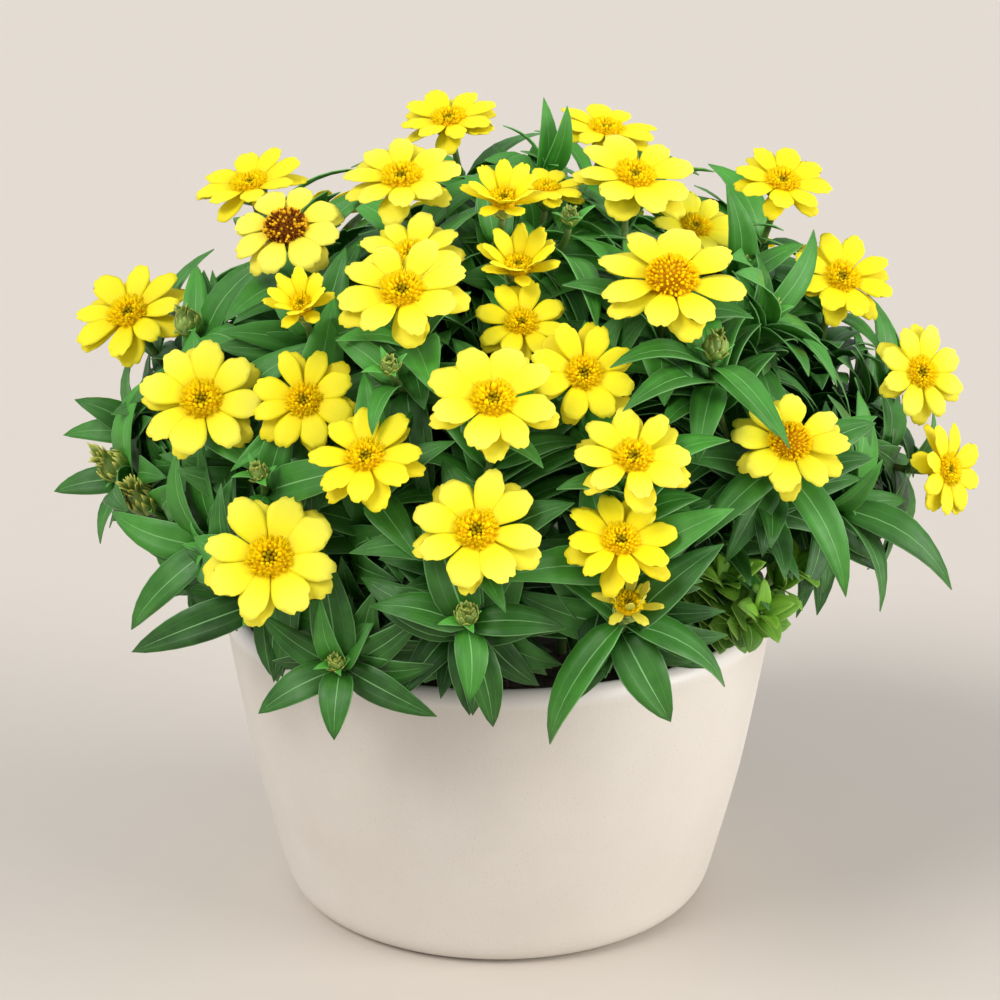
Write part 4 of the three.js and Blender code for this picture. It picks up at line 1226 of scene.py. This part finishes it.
                    tone, stamp = 0.7, club
            grown = self.bed(head, share) + size * rng.uniform(0.55, 0.85)
            stamp.press_at(bm, head.matrix(angle, out, grown, lean, size), tone)
        finish_mesh(bm, f"disc_{head.name}", [self.disc_skins[head.kind]],
                    [f"bloom_{head.name}"])

    def build(self) -> None:
        """Makes every head."""
        self.finishes()
        star, club, bud = self.star(), self.club(0.62, 0.5), self.club(0.95, 0.4)
        for head in self.heads:
            self.petals(head)
            self.disc(head, star, club, bud)


class Curve:
    """A smooth curve from four control points."""

    LEAVE_REACH = 0.4
    ARRIVE_REACH = 0.3
    STEPS = 200
    NEAR = 1e-4

    def __init__(self, start: Point, leave: Point, end: Point, axis: Point) -> None:
        """Draws the curve from a start and its direction to an end and its direction."""
        reach = np.linalg.norm(end - start)
        self.knots = [start, start + leave * reach * self.LEAVE_REACH,
                      end - axis * reach * self.ARRIVE_REACH, end]
        walk = [self.point(i / self.STEPS) for i in range(self.STEPS + 1)]
        self.length = sum(float(np.linalg.norm(b - a)) for a, b in zip(walk, walk[1:]))

    def point(self, t: float) -> Point:
        """The point at a share of the curve."""
        s = 1 - t
        a, b, c, d = self.knots
        return a * s**3 + b * 3 * s**2 * t + c * 3 * s * t**2 + d * t**3

    def tangent(self, t: float) -> Point:
        """The unit direction at a share of the curve."""
        low, high = max(t - self.NEAR, 0.0), min(t + self.NEAR, 1.0)
        return unit(self.point(high) - self.point(low))


@dataclass
class Leaf:
    """One leaf: its root, its tip, the direction across its foot, and its width."""

    root: Point
    tip: Point
    across: Point
    width: float


@dataclass
class Joint:
    """The place on a shoot where leaves stand, with the leaf on each of its faces."""

    share: float
    leaves: dict[int, Leaf] = field(default_factory=dict)


class Line:
    """One shoot as it is drawn: its curve, its thickness, its end and its joints."""

    LEADER_RADIUS = 2.5
    SHOOT_RADIUS = 1.9
    TIP_RADIUS = 1.5
    SIDES = 4
    RING_START = np.array([0.4, 1.0, 0.1])
    ROOT_HEIGHT = 1.3
    FOOT_HEIGHT = 130.0
    FOOT_SPREAD = 0.003
    CUP_HEIGHT = 7.0
    LONG = 101.0
    LEAST_GAP = 6.0
    NAMED_SHARES = (0.94, 0.84)

    def __init__(self, plan: StemPlan, shoot: Shoot, order: int, heads: dict[str, Head],
                 leader: Curve | None) -> None:
        """Draws a shoot.

        Args:
            plan: The stem that the shoot belongs to.
            shoot: The shoot.
            order: Its number on its stem, where 0 is the leader.
            heads: The flower heads by name.
            leader: The curve of the stem's leader, if it has one yet.
        """
        self.shoot, self.order, self.scale = shoot, order, plan.scale
        self.head = heads.get(shoot.end) if isinstance(shoot.end, str) else None
        self.axis = self.head.axis if self.head else heading(*shoot.aim)
        self.neck = (self.head.seat - self.axis * self.CUP_HEIGHT if self.head
                     else np.array(shoot.end, dtype=float))
        self.rooted = not shoot.start
        if self.rooted:
            start = np.array([*plan.foot, self.FOOT_HEIGHT])
            leave = UP + np.array([*plan.foot, 0.0]) * self.FOOT_SPREAD
        else:
            start = leader.point(shoot.start)
            leave = leader.tangent(shoot.start) + unit(self.neck - start)
        self.curve = Curve(start, unit(leave), self.neck, self.axis)
        self.thick = (self.SHOOT_RADIUS if order else self.LEADER_RADIUS) * plan.scale
        self.joints = [Joint(share) for share in self.joint_shares(plan)]

    def joint_shares(self, plan: StemPlan) -> list[float]:
        """The shares of the shoot at which its leaves stand."""
        if plan.scale < 1:
            plain = (0.8, 0.96)
        elif self.order == 0:
            plain = (0.6, 0.86)
        elif self.curve.length > self.LONG and plan.foot[1] < 0:
            plain = (0.5, 0.82)
        else:
            plain = (0.8,)
        named = self.NAMED_SHARES if self.shoot.leaves else ()
        gap = self.LEAST_GAP / self.curve.length
        free = [share for share in plain if all(abs(other - share) > gap for other in named)]
        return [*named, *free]

    def radius(self, share: float) -> float:
        """The radius of the shoot at a share of its length."""
        return self.thick + (self.TIP_RADIUS * self.scale - self.thick) * share

    def ring(self, share: float, sides: int, radius: float) -> Point:
        """The corners of a ring round the shoot."""
        axis = self.curve.tangent(share)
        across = square_to(self.RING_START, axis)
        over = np.cross(axis, across)
        angles = np.arange(sides) * 2 * math.pi / sides
        return (self.curve.point(share) + np.outer(np.cos(angles) * radius, across)
                + np.outer(np.sin(angles) * radius, over))

    def crosswise(self) -> tuple[Point, Point]:
        """The two directions square to the shoot's end."""
        across = square_to(self.RING_START, self.axis)
        return across, np.cross(self.axis, across)

    def foot_of(self, share: float, face: int) -> tuple[Point, Point, Point, Point]:
        """The root, the axis, and the directions across and out of a leaf's foot."""
        half = self.ROOT_HEIGHT * self.scale / 2 / self.curve.length
        low = self.ring(share - half, self.SIDES, self.radius(share - half))
        high = self.ring(share + half, self.SIDES, self.radius(share + half))
        after = (face + 1) % self.SIDES
        root = (low[face] + low[after] + high[after] + high[face]) / 4
        axis = self.curve.tangent(share)
        across = unit(high[face] - high[after])
        return root, axis, across, -np.cross(across, axis)


class Stem:
    """One stem with its shoots, whose leaves are found again in the CAD node."""

    PAIR_SIZE = (52.0, 17.5)
    SPRIG_PAIR_SIZE = (13.0, 9.0)
    SEED = 1001
    SEED_STEP = 17
    BETTER = 0.1

    def __init__(self, plan: StemPlan, order: int, heads: dict[str, Head],
                 cad: CadCorners) -> None:
        """Draws a stem and finds its leaves."""
        self.plan, self.order, self.cad = plan, order, cad
        self.tag = plan.name.removeprefix("stem_")
        self.lines: list[Line] = []
        for number, shoot in enumerate(plan.shoots):
            leader = self.lines[0].curve if self.lines else None
            self.lines.append(Line(plan, shoot, number, heads, leader))
        self.length, self.width = self.SPRIG_PAIR_SIZE if plan.scale < 1 else self.PAIR_SIZE
        self.named_leaves()
        self.pair_leaves()
        self.leaves = [leaf for line in self.lines for joint in line.joints
                       for leaf in joint.leaves.values()]

    def grow(self, line: Line, joint: Joint, face: int, tip: Point, width: float) -> None:
        """Puts a leaf on a face in the way that the CAD node has it, if it has one there."""
        root, _, across, _ = line.foot_of(joint.share, face)
        span = tip - root
        size = float(np.linalg.norm(span))
        side = unit(across - span * (np.dot(across, span) / size**2))
        over = unit(np.cross(side, span))
        for aside, up, reach in LEAF_TURNS:
            end = root + span * reach + side * aside * size * reach + over * up * size * reach
            if self.cad.has(end):
                joint.leaves[face] = Leaf(root, end, across, width * reach)
                return

    def named_leaves(self) -> None:
        """The leaves near the end of a shoot that are given by their tips."""
        for line in self.lines:
            for tip, width in line.shoot.leaves:
                place = np.array(tip, dtype=float)
                best = None
                for joint in line.joints[:2]:
                    for face in range(Line.SIDES):
                        root, _, _, out = line.foot_of(joint.share, face)
                        fit = float(np.dot(unit(place - root), out))
                        if face in joint.leaves:
                            fit = -1.0
                        if best is None or fit > best[0] + self.BETTER:
                            best = (fit, joint, face)
                self.grow(line, best[1], best[2], place, width)

    def pair_leaves(self) -> None:
        """The leaves at the joints, in crossed pairs."""
        draw = make_draw(self.SEED + self.SEED_STEP * self.order)
        for line in self.lines:
            for joint in line.joints:
                for face in (0, 2, 1, 3):
                    root, axis, across, out = line.foot_of(joint.share, face)
                    reach = self.length * (0.82 + 0.36 * next(draw))
                    rise = (0.42 if face % 2 else 0.16) + 0.26 * next(draw)
                    aside = 0.6 * (next(draw) - 0.5)
                    tip = root + out * reach * 0.85 + axis * reach * rise + across * reach * aside
                    width = self.width * (0.88 + 0.24 * next(draw))
                    if face not in joint.leaves:
                        self.grow(line, joint, face, tip, width)


@dataclass
class LeafPress:
    """Shapes leaves from one template."""

    stamp: Stamp
    fold: float = 0.24
    arch: float = 0.16
    roundness: float = 0.68
    fullness: float = 0.62
    taper: float = 0.35
    stalk_width: float = 0.26
    stalk_share: float = 0.2
    tip_width: float = 0.03
    wave: float = 0.045
    # Tip heights over which a leaf's painted shade gives way to the lit green.
    low: float = 150.0
    high: float = 350.0
    growth: float = 1.0

    def tone(self, leaf: Leaf, least: float, added: float, spread: float) -> float:
        """The shade of a leaf, lighter the higher its tip stands, within 0 and 1: painted shade on
        the low leaves.
        """
        share = (leaf.tip[2] - self.low) / (self.high - self.low)
        return min(max(least + added * share + spread, 0.0), 1.0)

    def points(self, leaf: Leaf, rng: random.Random) -> tuple[Point, Point]:
        """The corners of one leaf.

        Args:
            leaf: The leaf's root, tip and width.
            rng: The source of its small differences.

        Returns:
            The corners in millimetres and the share along the leaf of each.
        """
        u, v = self.stamp.grid()
        span = leaf.tip - leaf.root
        length = float(np.linalg.norm(span))
        side = unit(leaf.across - span * (np.dot(leaf.across, span) / length**2))
        crown = unit(np.cross(side, span))
        bow = self.arch * length * 4
        outline = np.sin(math.pi * np.clip(v, 0, 1) ** self.roundness) ** self.fullness
        outline *= 1 - self.taper * v**3
        stalk = np.where(v < self.stalk_share, self.stalk_width, 0.0)
        half = leaf.width / 2 * np.maximum(outline, stalk)
        half[v > 0.999] = self.tip_width
        slope = span + np.outer(bow * (1 - 2 * v), crown)
        normal = np.cross(np.tile(side, (len(v), 1)), slope)
        normal /= np.linalg.norm(normal, axis=1)[:, None]
        shift = u * half
        phase = rng.uniform(0, 6.28)
        wave = self.wave * leaf.width * np.sin(phase + v * 8 + np.sign(u) * 0.8) * u**2
        fold = self.fold * rng.uniform(0.6, 1.35)
        lift = np.abs(shift) * fold * np.sqrt(np.clip(1 - v * 0.5, 0, 1)) + wave * (1 - v)
        drift = rng.uniform(-0.05, 0.05) * length * np.sin(math.pi * v)
        spine = leaf.root + np.outer(v, span) + np.outer(bow * v * (1 - v), crown)
        points = spine + np.outer(shift + drift, side) + normal * lift[:, None]
        return points, v

    def press(self, bm: BMesh, leaf: Leaf, rng: random.Random, tone: float) -> None:
        """Adds one leaf to a mesh."""
        points, along = self.points(leaf, rng)
        self.stamp.press(bm, points, tone, along)


@dataclass(frozen=True)
class ScaleRows:
    """The scales of a calyx or bud: rows, scales a row, how far they flare, and their length."""

    rows: int
    around: int
    flare: float
    reach: float


CALYX_SCALES = ScaleRows(3, 9, 0.4, 1.0)
BUD_SCALES = ScaleRows(4, 7, 2.0, 1.6)
OPENING_SCALES = ScaleRows(4, 10, 3.6, 2.1)

# The outline of a calyx, shares of its disc's radius and heights, and that of a bud, both in
# shares of its size.
CALYX_OUTLINE = [(0.52, 1.0), (0.84, 3.0), (0.93, 5.0), (0.9, 6.7)]
BUD_OUTLINE = [(0.74, 0.25), (0.92, 0.8), (0.82, 1.4), (0.5, 1.85), (0.2, 2.08)]


@dataclass
class StemDresser:
    """Dresses stems: round stalks, scaly calyxes and buds, and veined leaves."""

    press: LeafPress
    scale_stamp: Stamp
    stalk: Material
    scale: Material
    blade: Material
    slot: str
    seed: int = 900
    sides: int = 8
    rings: int = 14
    knot: float = 2.2
    swelling: float = 0.28
    root_height: float = 104.0
    cup_steps: int = 14
    bud_size: float = 1.15
    opening_bud: float = 5.0
    thickness: float = 0.5
    bract: tuple[float, float] = (8.0, 14.0)
    bract_width: float = 0.34
    bract_open: tuple[float, float] = (0.5, 0.8)

    def tube(self, line: Line) -> BMesh:
        """The stalk of a shoot, swollen at its joints."""
        shares = {i / self.rings for i in range(self.rings + 1)}
        for joint in line.joints:
            gap = self.knot / line.curve.length
            shares |= {joint.share - gap, joint.share, joint.share + gap}
        rings = []
        for share in sorted(s for s in shares if 0 <= s <= 1):
            near = min(abs(share - joint.share) * line.curve.length for joint in line.joints)
            swell = 1 + self.swelling * max(0.0, 1 - near / self.knot)
            rings.append(line.ring(share, self.sides, line.radius(share) * swell))
        if line.rooted:
            low = rings[0].copy()
            low[:, 2] = self.root_height
            rings.insert(0, low)
        return swept(rings)

    def cup(self, bm: BMesh, line: Line, profile: Profile) -> None:
        """Adds the body of a calyx or bud, turned round the end of its shoot."""
        closed = [(0, profile[0][1]), *profile, (0, profile[-1][1])]
        body = turned(closed, self.cup_steps)
        matrix = frame_matrix(line.neck, *line.crosswise(), line.axis, 1.0)
        bmesh.ops.transform(body, matrix=matrix, verts=body.verts)
        pour(bm, body, 0.4, 1)

    def profile(self, line: Line) -> Profile:
        """The radii and heights of a calyx or bud above the end of its shoot."""
        if line.head:
            hub = line.head.hub
            return [(1.4, -0.6), *((hub * share, height) for share, height in CALYX_OUTLINE)]
        size = line.shoot.bud * self.bud_size
        return [(1.3 * line.scale, -0.6),
                *((size * share, size * height) for share, height in BUD_OUTLINE)]

    def scales(self, bm: BMesh, line: Line, profile: Profile, rng: random.Random) -> None:
        """Sets overlapping pointed scales on a calyx or bud.

        Args:
            bm: The mesh of the leaves.
            line: The shoot that ends in the calyx or bud.
            profile: The radii and heights of its body.
            rng: The source of small differences.
        """
        across, over = line.crosswise()
        opening = line.shoot.bud > self.opening_bud
        kind = OPENING_SCALES if opening else CALYX_SCALES if line.head else BUD_SCALES
        radii, heights = zip(*profile)
        held = [radii[0], *[radii[2]] * (len(radii) - 1)]
        top, stretch = heights[-1], kind.rows + 0.6
        u, v = self.scale_stamp.grid()
        for row in range(kind.rows):
            for i in range(kind.around):
                turn = (i + 0.5 * (row % 2) + rng.uniform(-0.1, 0.1)) * 2 * math.pi / kind.around
                reach = top * kind.reach * rng.uniform(1.5, 2.3) / stretch
                height = top * row / stretch + reach * v
                if line.head:
                    height = np.minimum(height, top * 1.02)
                flare = kind.flare * v**2 * rng.uniform(0.5, 1)
                out = np.interp(height, heights, radii) + 0.5 + flare
                wide = 1.2 * math.pi / kind.around * np.sin(math.pi * (0.3 + 0.69 * v)) ** 0.8
                if not line.head:
                    wide *= np.interp(height, heights, held) / out
                angle = turn + u * wide
                points = (line.neck + np.outer(out * np.cos(angle), across)
                          + np.outer(out * np.sin(angle), over) + np.outer(height, line.axis))
                tone = rng.uniform(0.6, 1.0) if opening else rng.uniform(0.0, 0.8)
                self.scale_stamp.press(bm, points, tone, v if opening else 0.85 * v)

    def bracts(self, bm: BMesh, line: Line, rng: random.Random) -> None:
        """Sets four small narrow leaves round the foot of a bud."""
        share = 1 - 1.5 / line.curve.length
        for face in range(Line.SIDES):
            root, axis, across, out = line.foot_of(share, face)
            reach = rng.uniform(*self.bract) * max(line.scale, 0.7)
            tip = (root + out * reach * rng.uniform(*self.bract_open)
                   + axis * reach * rng.uniform(0.4, 0.9))
            leaf = Leaf(root, tip, across, reach * self.bract_width)
            self.press.press(bm, leaf, rng, 1.0)

    def dress(self, stem: Stem) -> None:
        """Makes the stalk piece and the leaf piece of a stem."""
        rng = random.Random(self.seed + stem.order)
        stalks, leaves = new_sheet(), new_sheet()
        for line in stem.lines:
            pour(stalks, self.tube(line), rng.random())
            if line.head or line.shoot.bud:
                profile = self.profile(line)
                self.cup(stalks, line, profile)
                self.scales(leaves, line, profile, rng)
            if not line.head:
                self.bracts(leaves, line, rng)
        finish_mesh(stalks, f"stalks_{stem.tag}", [self.stalk, self.scale],
                    [stem.plan.name])
        for leaf in stem.leaves:
            # Painted shade: the lower a leaf's tip stands, the darker its tone, with a random
            # spread.
            tone = self.press.tone(leaf, 0.25, 0.5, rng.uniform(-0.25, 0.3))
            grown = leaf.root + (leaf.tip - leaf.root) * self.press.growth
            wide = leaf.width * self.press.growth
            self.press.press(leaves, Leaf(leaf.root, grown, leaf.across, wide), rng, tone)
        finish_mesh(leaves, f"leaves_{stem.tag}", [self.blade, self.scale],
                    [stem.plan.name], self.thickness)


# The outline of the bush as the eye sees it, in thousandths of the picture's side.
PICTURE_SIDE = 1000
BUSH_OUTLINE = [
    (75, 480), (75, 400), (138, 385), (150, 345), (188, 320), (196, 268), (245, 262), (262, 215),
    (318, 178), (345, 190), (400, 130), (440, 110), (500, 125), (560, 135), (660, 150), (735, 185),
    (830, 215), (880, 275), (945, 380), (950, 500), (915, 570), (840, 590), (800, 640), (740, 655),
    (660, 700), (545, 715), (480, 725), (430, 700), (330, 715), (262, 690), (250, 650), (150, 625),
    (170, 570), (110, 530),
]


@dataclass
class UnderLeaves:
    """Leaves at further joints of the shoots, which fill the bush between the heads."""

    BUSH_MIDDLE = np.array([6.0, -2.0, 196.0])
    BUSH_REACH = np.array([186.0, 168.0, 150.0])
    POT_WALL = (108.0, 129.0)
    POT_CLEAR = 143.0
    INNER_EDGE = 100.0
    LOWEST_INSIDE, LOWEST_OUTSIDE = 118.0, 136.0
    HEAD_ROOM, HEAD_BACK, HEAD_FRONT = 1.02, -9.0, 26.0
    HEAD_COVER, HEAD_DEPTH = 0.86, 4.0
    BUD_ROOM = 1.8
    JOINT_GAP = 0.05
    TRIES = 6

    heads: list[Head]
    press: LeafPress
    blade: Material
    eye: Point
    slot: str = "foliage"
    shares: tuple[float, ...] = (0.22, 0.3, 0.42, 0.48, 0.54, 0.66, 0.72, 0.78, 0.92)
    back_shares: tuple[float, ...] = (0.08, 0.12, 0.16, 0.26, 0.36, 0.6, 0.84)
    back_edge: float = -10.0
    back_length: float = 40.0
    turn: float = 0.45
    back_turn: float = 0.9
    seed: int = 41
    length: float = 46.0
    width: float = 15.5
    thickness: float = 0.5
    buds: list[tuple[Point, float]] = field(default_factory=list)

    def clear_of_heads(self, points: Point) -> bool:
        """Whether a leaf crosses no head and hides none from the front."""
        for head in self.heads:
            height, out = along_and_beside(points, head.seat, head.axis)
            near_disc = (height > self.HEAD_BACK) & (height < self.HEAD_FRONT)
            if np.any((out < head.radius * self.HEAD_ROOM) & near_disc):
                return False
            if head.at_back:
                continue
            depth, beside = along_and_beside(points, head.seat, unit(head.seat - self.eye))
            if np.any((beside < head.radius * self.HEAD_COVER) & (depth < self.HEAD_DEPTH)):
                return False
        return True

    def clear_of_buds(self, points: Point) -> bool:
        """Whether a leaf hides no bud from the front."""
        for middle, radius in self.buds:
            depth, beside = along_and_beside(points, middle, unit(middle - self.eye))
            if np.any((beside < radius) & (depth < radius)):
                return False
        return True

    def in_outline(self, points: Point) -> bool:
        """Whether a leaf stays within the outline of the bush as the eye sees it."""
        pitch = math.radians(Studio.pitch)
        away = points - self.eye
        depth = away[:, 1] * math.cos(pitch) - away[:, 2] * math.sin(pitch)
        rise = away[:, 1] * math.sin(pitch) + away[:, 2] * math.cos(pitch)
        scale, middle = Studio.lens / Studio.sensor * PICTURE_SIDE, PICTURE_SIDE / 2
        x, y = middle + scale * away[:, 0] / depth, middle - scale * rise / depth
        inside = np.zeros(len(points), dtype=bool)
        for (ax, ay), (bx, by) in zip(BUSH_OUTLINE, BUSH_OUTLINE[1:] + BUSH_OUTLINE[:1]):
            crosses = (ay > y) != (by > y)
            inside ^= crosses & (x < (bx - ax) * (y - ay) / (by - ay + 1e-9) + ax)
        return bool(inside.all())

    def inside(self, points: Point) -> bool:
        """Whether a leaf stays within the bush and clear of the pot."""
        x, y, z = points.T
        bush = (((points - self.BUSH_MIDDLE) / self.BUSH_REACH) ** 2).sum(axis=1)
        out = np.hypot(x, y)
        hits_pot = (out > self.POT_WALL[0]) & (out < self.POT_WALL[1]) & (z < self.POT_CLEAR)
        low = z < np.where(out > self.INNER_EDGE, self.LOWEST_OUTSIDE, self.LOWEST_INSIDE)
        return bool(np.all(bush < 1) and not np.any(hits_pot | low)) and self.in_outline(points)

    def build(self, stems: Sequence[Stem]) -> None:
        """Makes one piece of further leaves for each stem."""
        self.buds = [(line.neck + line.axis * line.shoot.bud, line.shoot.bud * self.BUD_ROOM)
                     for stem in stems for line in stem.lines
                     if line.shoot.bud and line.neck[1] < 0]
        for stem in stems:
            rng = random.Random(self.seed + stem.order)
            bm = new_sheet()
            for line in stem.lines:
                taken = [joint.share for joint in line.joints]
                spots = [(share, face) for share in self.shares for face in range(Line.SIDES)
                         if all(abs(share - other) >= self.JOINT_GAP for other in taken)]
                spots += [(joint.share, face) for joint in line.joints for face in range(Line.SIDES)
                          if face not in joint.leaves]
                for share, face in spots:
                    self.try_leaf(bm, line, share, face, rng, self.turn)
            for line in stem.lines:
                at_back = line.curve.point(0.5)[1] > self.back_edge
                if at_back and line.curve.length > self.back_length:
                    for share in self.back_shares:
                        for face in range(Line.SIDES):
                            self.try_leaf(bm, line, share, face, rng, self.back_turn)
            finish_mesh(bm, f"under_leaves_{stem.tag}", [self.blade],
                        [stem.plan.name], self.thickness)

    def try_leaf(self, bm: BMesh, line: Line, share: float, face: int,
                 rng: random.Random, turn: float) -> None:
        """Grows a leaf on one face of a shoot in the first way that is clear.

        Args:
            bm: The mesh of the leaves.
            line: The shoot.
            share: The share of the shoot's length where the leaf stands.
            face: The face of the shoot that it grows from.
            rng: The source of its direction and size.
            turn: How far the leaf may lean aside, as a share of its length.
        """
        root, axis, across, out = line.foot_of(share, face)
        for _ in range(self.TRIES):
            reach = self.length * rng.uniform(0.75, 1.15)
            rise = rng.uniform(0.05, 0.75)
            aside = rng.uniform(-turn, turn)
            tip = root + out * reach * 0.85 + axis * reach * rise + across * reach * aside
            leaf = Leaf(root, tip, across, self.width * rng.uniform(0.85, 1.15))
            points, _ = self.press.points(leaf, random.Random(1))
            if self.inside(points) and self.clear_of_heads(points) and self.clear_of_buds(points):
                # Painted shade: these leaves inside the bush start darker than those at the joints,
                # and are darker the lower they stand.
                tone = self.press.tone(leaf, 0.1, 0.45, rng.uniform(-0.15, 0.15))
                self.press.press(bm, leaf, rng, tone)
                return


# Each light: its name, how far it leans aside and forward, its strength, and its spread.
LIGHTS = [("key_light", (-38.0, -26.0), 1.95, 28.0), ("fill_light", (71.3, -18.6), 2.5, 42.0)]


@dataclass
class Studio:
    """The floor, the soft lights and the camera."""

    eye: tuple[float, float, float] = (0.00066, -0.9587, 0.4686)
    pitch: float = 16.53
    lens: float = 78.9
    sensor: float = 36.0
    clip: tuple[float, float] = (0.05, 60.0)
    floor_size: float = 16.0
    light_tint: Colour = (1.0, 0.985, 0.955)
    air_tint: Colour = (0.93, 0.96, 1.0)
    air_strength: float = 0.7

    def floor(self) -> None:
        """Lays the floor."""
        bm = bmesh.new()
        bmesh.ops.create_grid(bm, x_segments=1, y_segments=1, size=self.floor_size / 2)
        mesh = bpy.data.meshes.new("floor")
        bm.to_mesh(mesh)
        bm.free()
        mesh.materials.append(StudioFloor().build())
        floor = bpy.data.objects.new("floor", mesh)
        bpy.context.scene.collection.objects.link(floor)

    def sky(self, name: str, lean: tuple[float, float], strength: float, spread: float) -> None:
        """Hangs one large even light above, leaning aside and forward by angles in degrees."""
        light = bpy.data.lights.new(name, "SUN")
        light.energy, light.angle = strength, math.radians(spread)
        light.color = self.light_tint
        lamp = bpy.data.objects.new(name, light)
        lamp.rotation_euler = (math.radians(-lean[1]), math.radians(lean[0]), 0.0)
        bpy.context.scene.collection.objects.link(lamp)

    def build(self) -> None:
        """Sets up the studio."""
        scene = bpy.context.scene
        self.floor()
        world = bpy.data.worlds.new("studio")
        world.use_nodes = True
        background = world.node_tree.nodes["Background"]
        background.inputs["Color"].default_value = (*self.air_tint, 1.0)
        background.inputs["Strength"].default_value = self.air_strength
        scene.world = world
        for light in LIGHTS:
            self.sky(*light)
        camera = bpy.data.cameras.new("camera")
        camera.lens, camera.sensor_width = self.lens, self.sensor
        camera.clip_start, camera.clip_end = self.clip
        eye = bpy.data.objects.new("camera", camera)
        eye.location = self.eye
        eye.rotation_euler = (math.radians(90 - self.pitch), 0.0, 0.0)
        scene.collection.objects.link(eye)
        scene.camera = eye
        scene.view_settings.view_transform = "Standard"


def main() -> None:
    """Builds every piece in order."""
    logging.basicConfig(level=logging.INFO, format="%(name)s %(message)s")
    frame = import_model()
    nodes = frame["nodes"]

    Pot().build()
    Soil().build()

    heads = [Head(row, order, CadCorners(nodes[f"bloom_{row[0]}"]))
             for order, row in enumerate(BLOOMS)]
    FlowerHeads(heads, grid_stamp("petal", 8, 7)).build()

    by_name = {head.name: head for head in heads}
    plans = [*STEMS, SPRIG]
    stems = [Stem(plan, order, by_name, CadCorners(nodes[plan.name]))
             for order, plan in enumerate(plans)]
    for stem in stems:
        LOG.info("%s: %d leaves found", stem.plan.name, len(stem.leaves))

    leaf_stamp, scale_stamp = grid_stamp("leaf", 4, 8), grid_stamp("scale", 2, 4)
    for polygon in scale_stamp.mesh.polygons:
        polygon.material_index = 1
    leaf_press = LeafPress(leaf_stamp)
    stalk = StalkFinish("green_stalk", screen_colour(104, 130, 58), screen_colour(72, 104, 42),
                        screen_colour(96, 120, 52)).build()
    scales = StalkFinish("bud_scales", screen_colour(138, 168, 76), screen_colour(70, 100, 22),
                         screen_colour(218, 210, 92), 0.3).build()
    # The leaf's deep green is its painted shade, and its lit green that of a leaf in full light.
    blade = LeafFinish("zinnia_leaf", screen_colour(6, 40, 0), screen_colour(82, 168, 54),
                       screen_colour(134, 190, 118)).build()
    dresser = StemDresser(leaf_press, scale_stamp, stalk, scales, blade, "foliage")
    for stem in stems[:-1]:
        dresser.dress(stem)
    eye = np.array(Studio.eye) / MM
    UnderLeaves(heads, leaf_press, blade, eye).build(stems[:-1])

    # The sprig's leaves also run from a deep green of painted shade to a lit green.
    oval = LeafFinish("sprig_leaf", screen_colour(40, 90, 12), screen_colour(126, 184, 46),
                      screen_colour(172, 206, 104), roughness=0.5).build()
    sprig_press = LeafPress(leaf_stamp, fold=0.1, arch=0.1, roundness=0.72, fullness=0.5,
                            low=140.0, high=174.0, growth=1.3)
    StemDresser(sprig_press, scale_stamp, stalk, scales, oval, "sprig", thickness=0.4,
                bract=(14.0, 18.0), bract_width=0.62, bract_open=(0.8, 1.0)).dress(stems[-1])
    UnderLeaves(heads, sprig_press, oval, eye, "sprig", (0.28, 0.4, 0.52, 0.64, 0.72),
                length=15.0, width=13.0).build(stems[-1:])

    Studio().build()


if __name__ == "__main__":
    main()
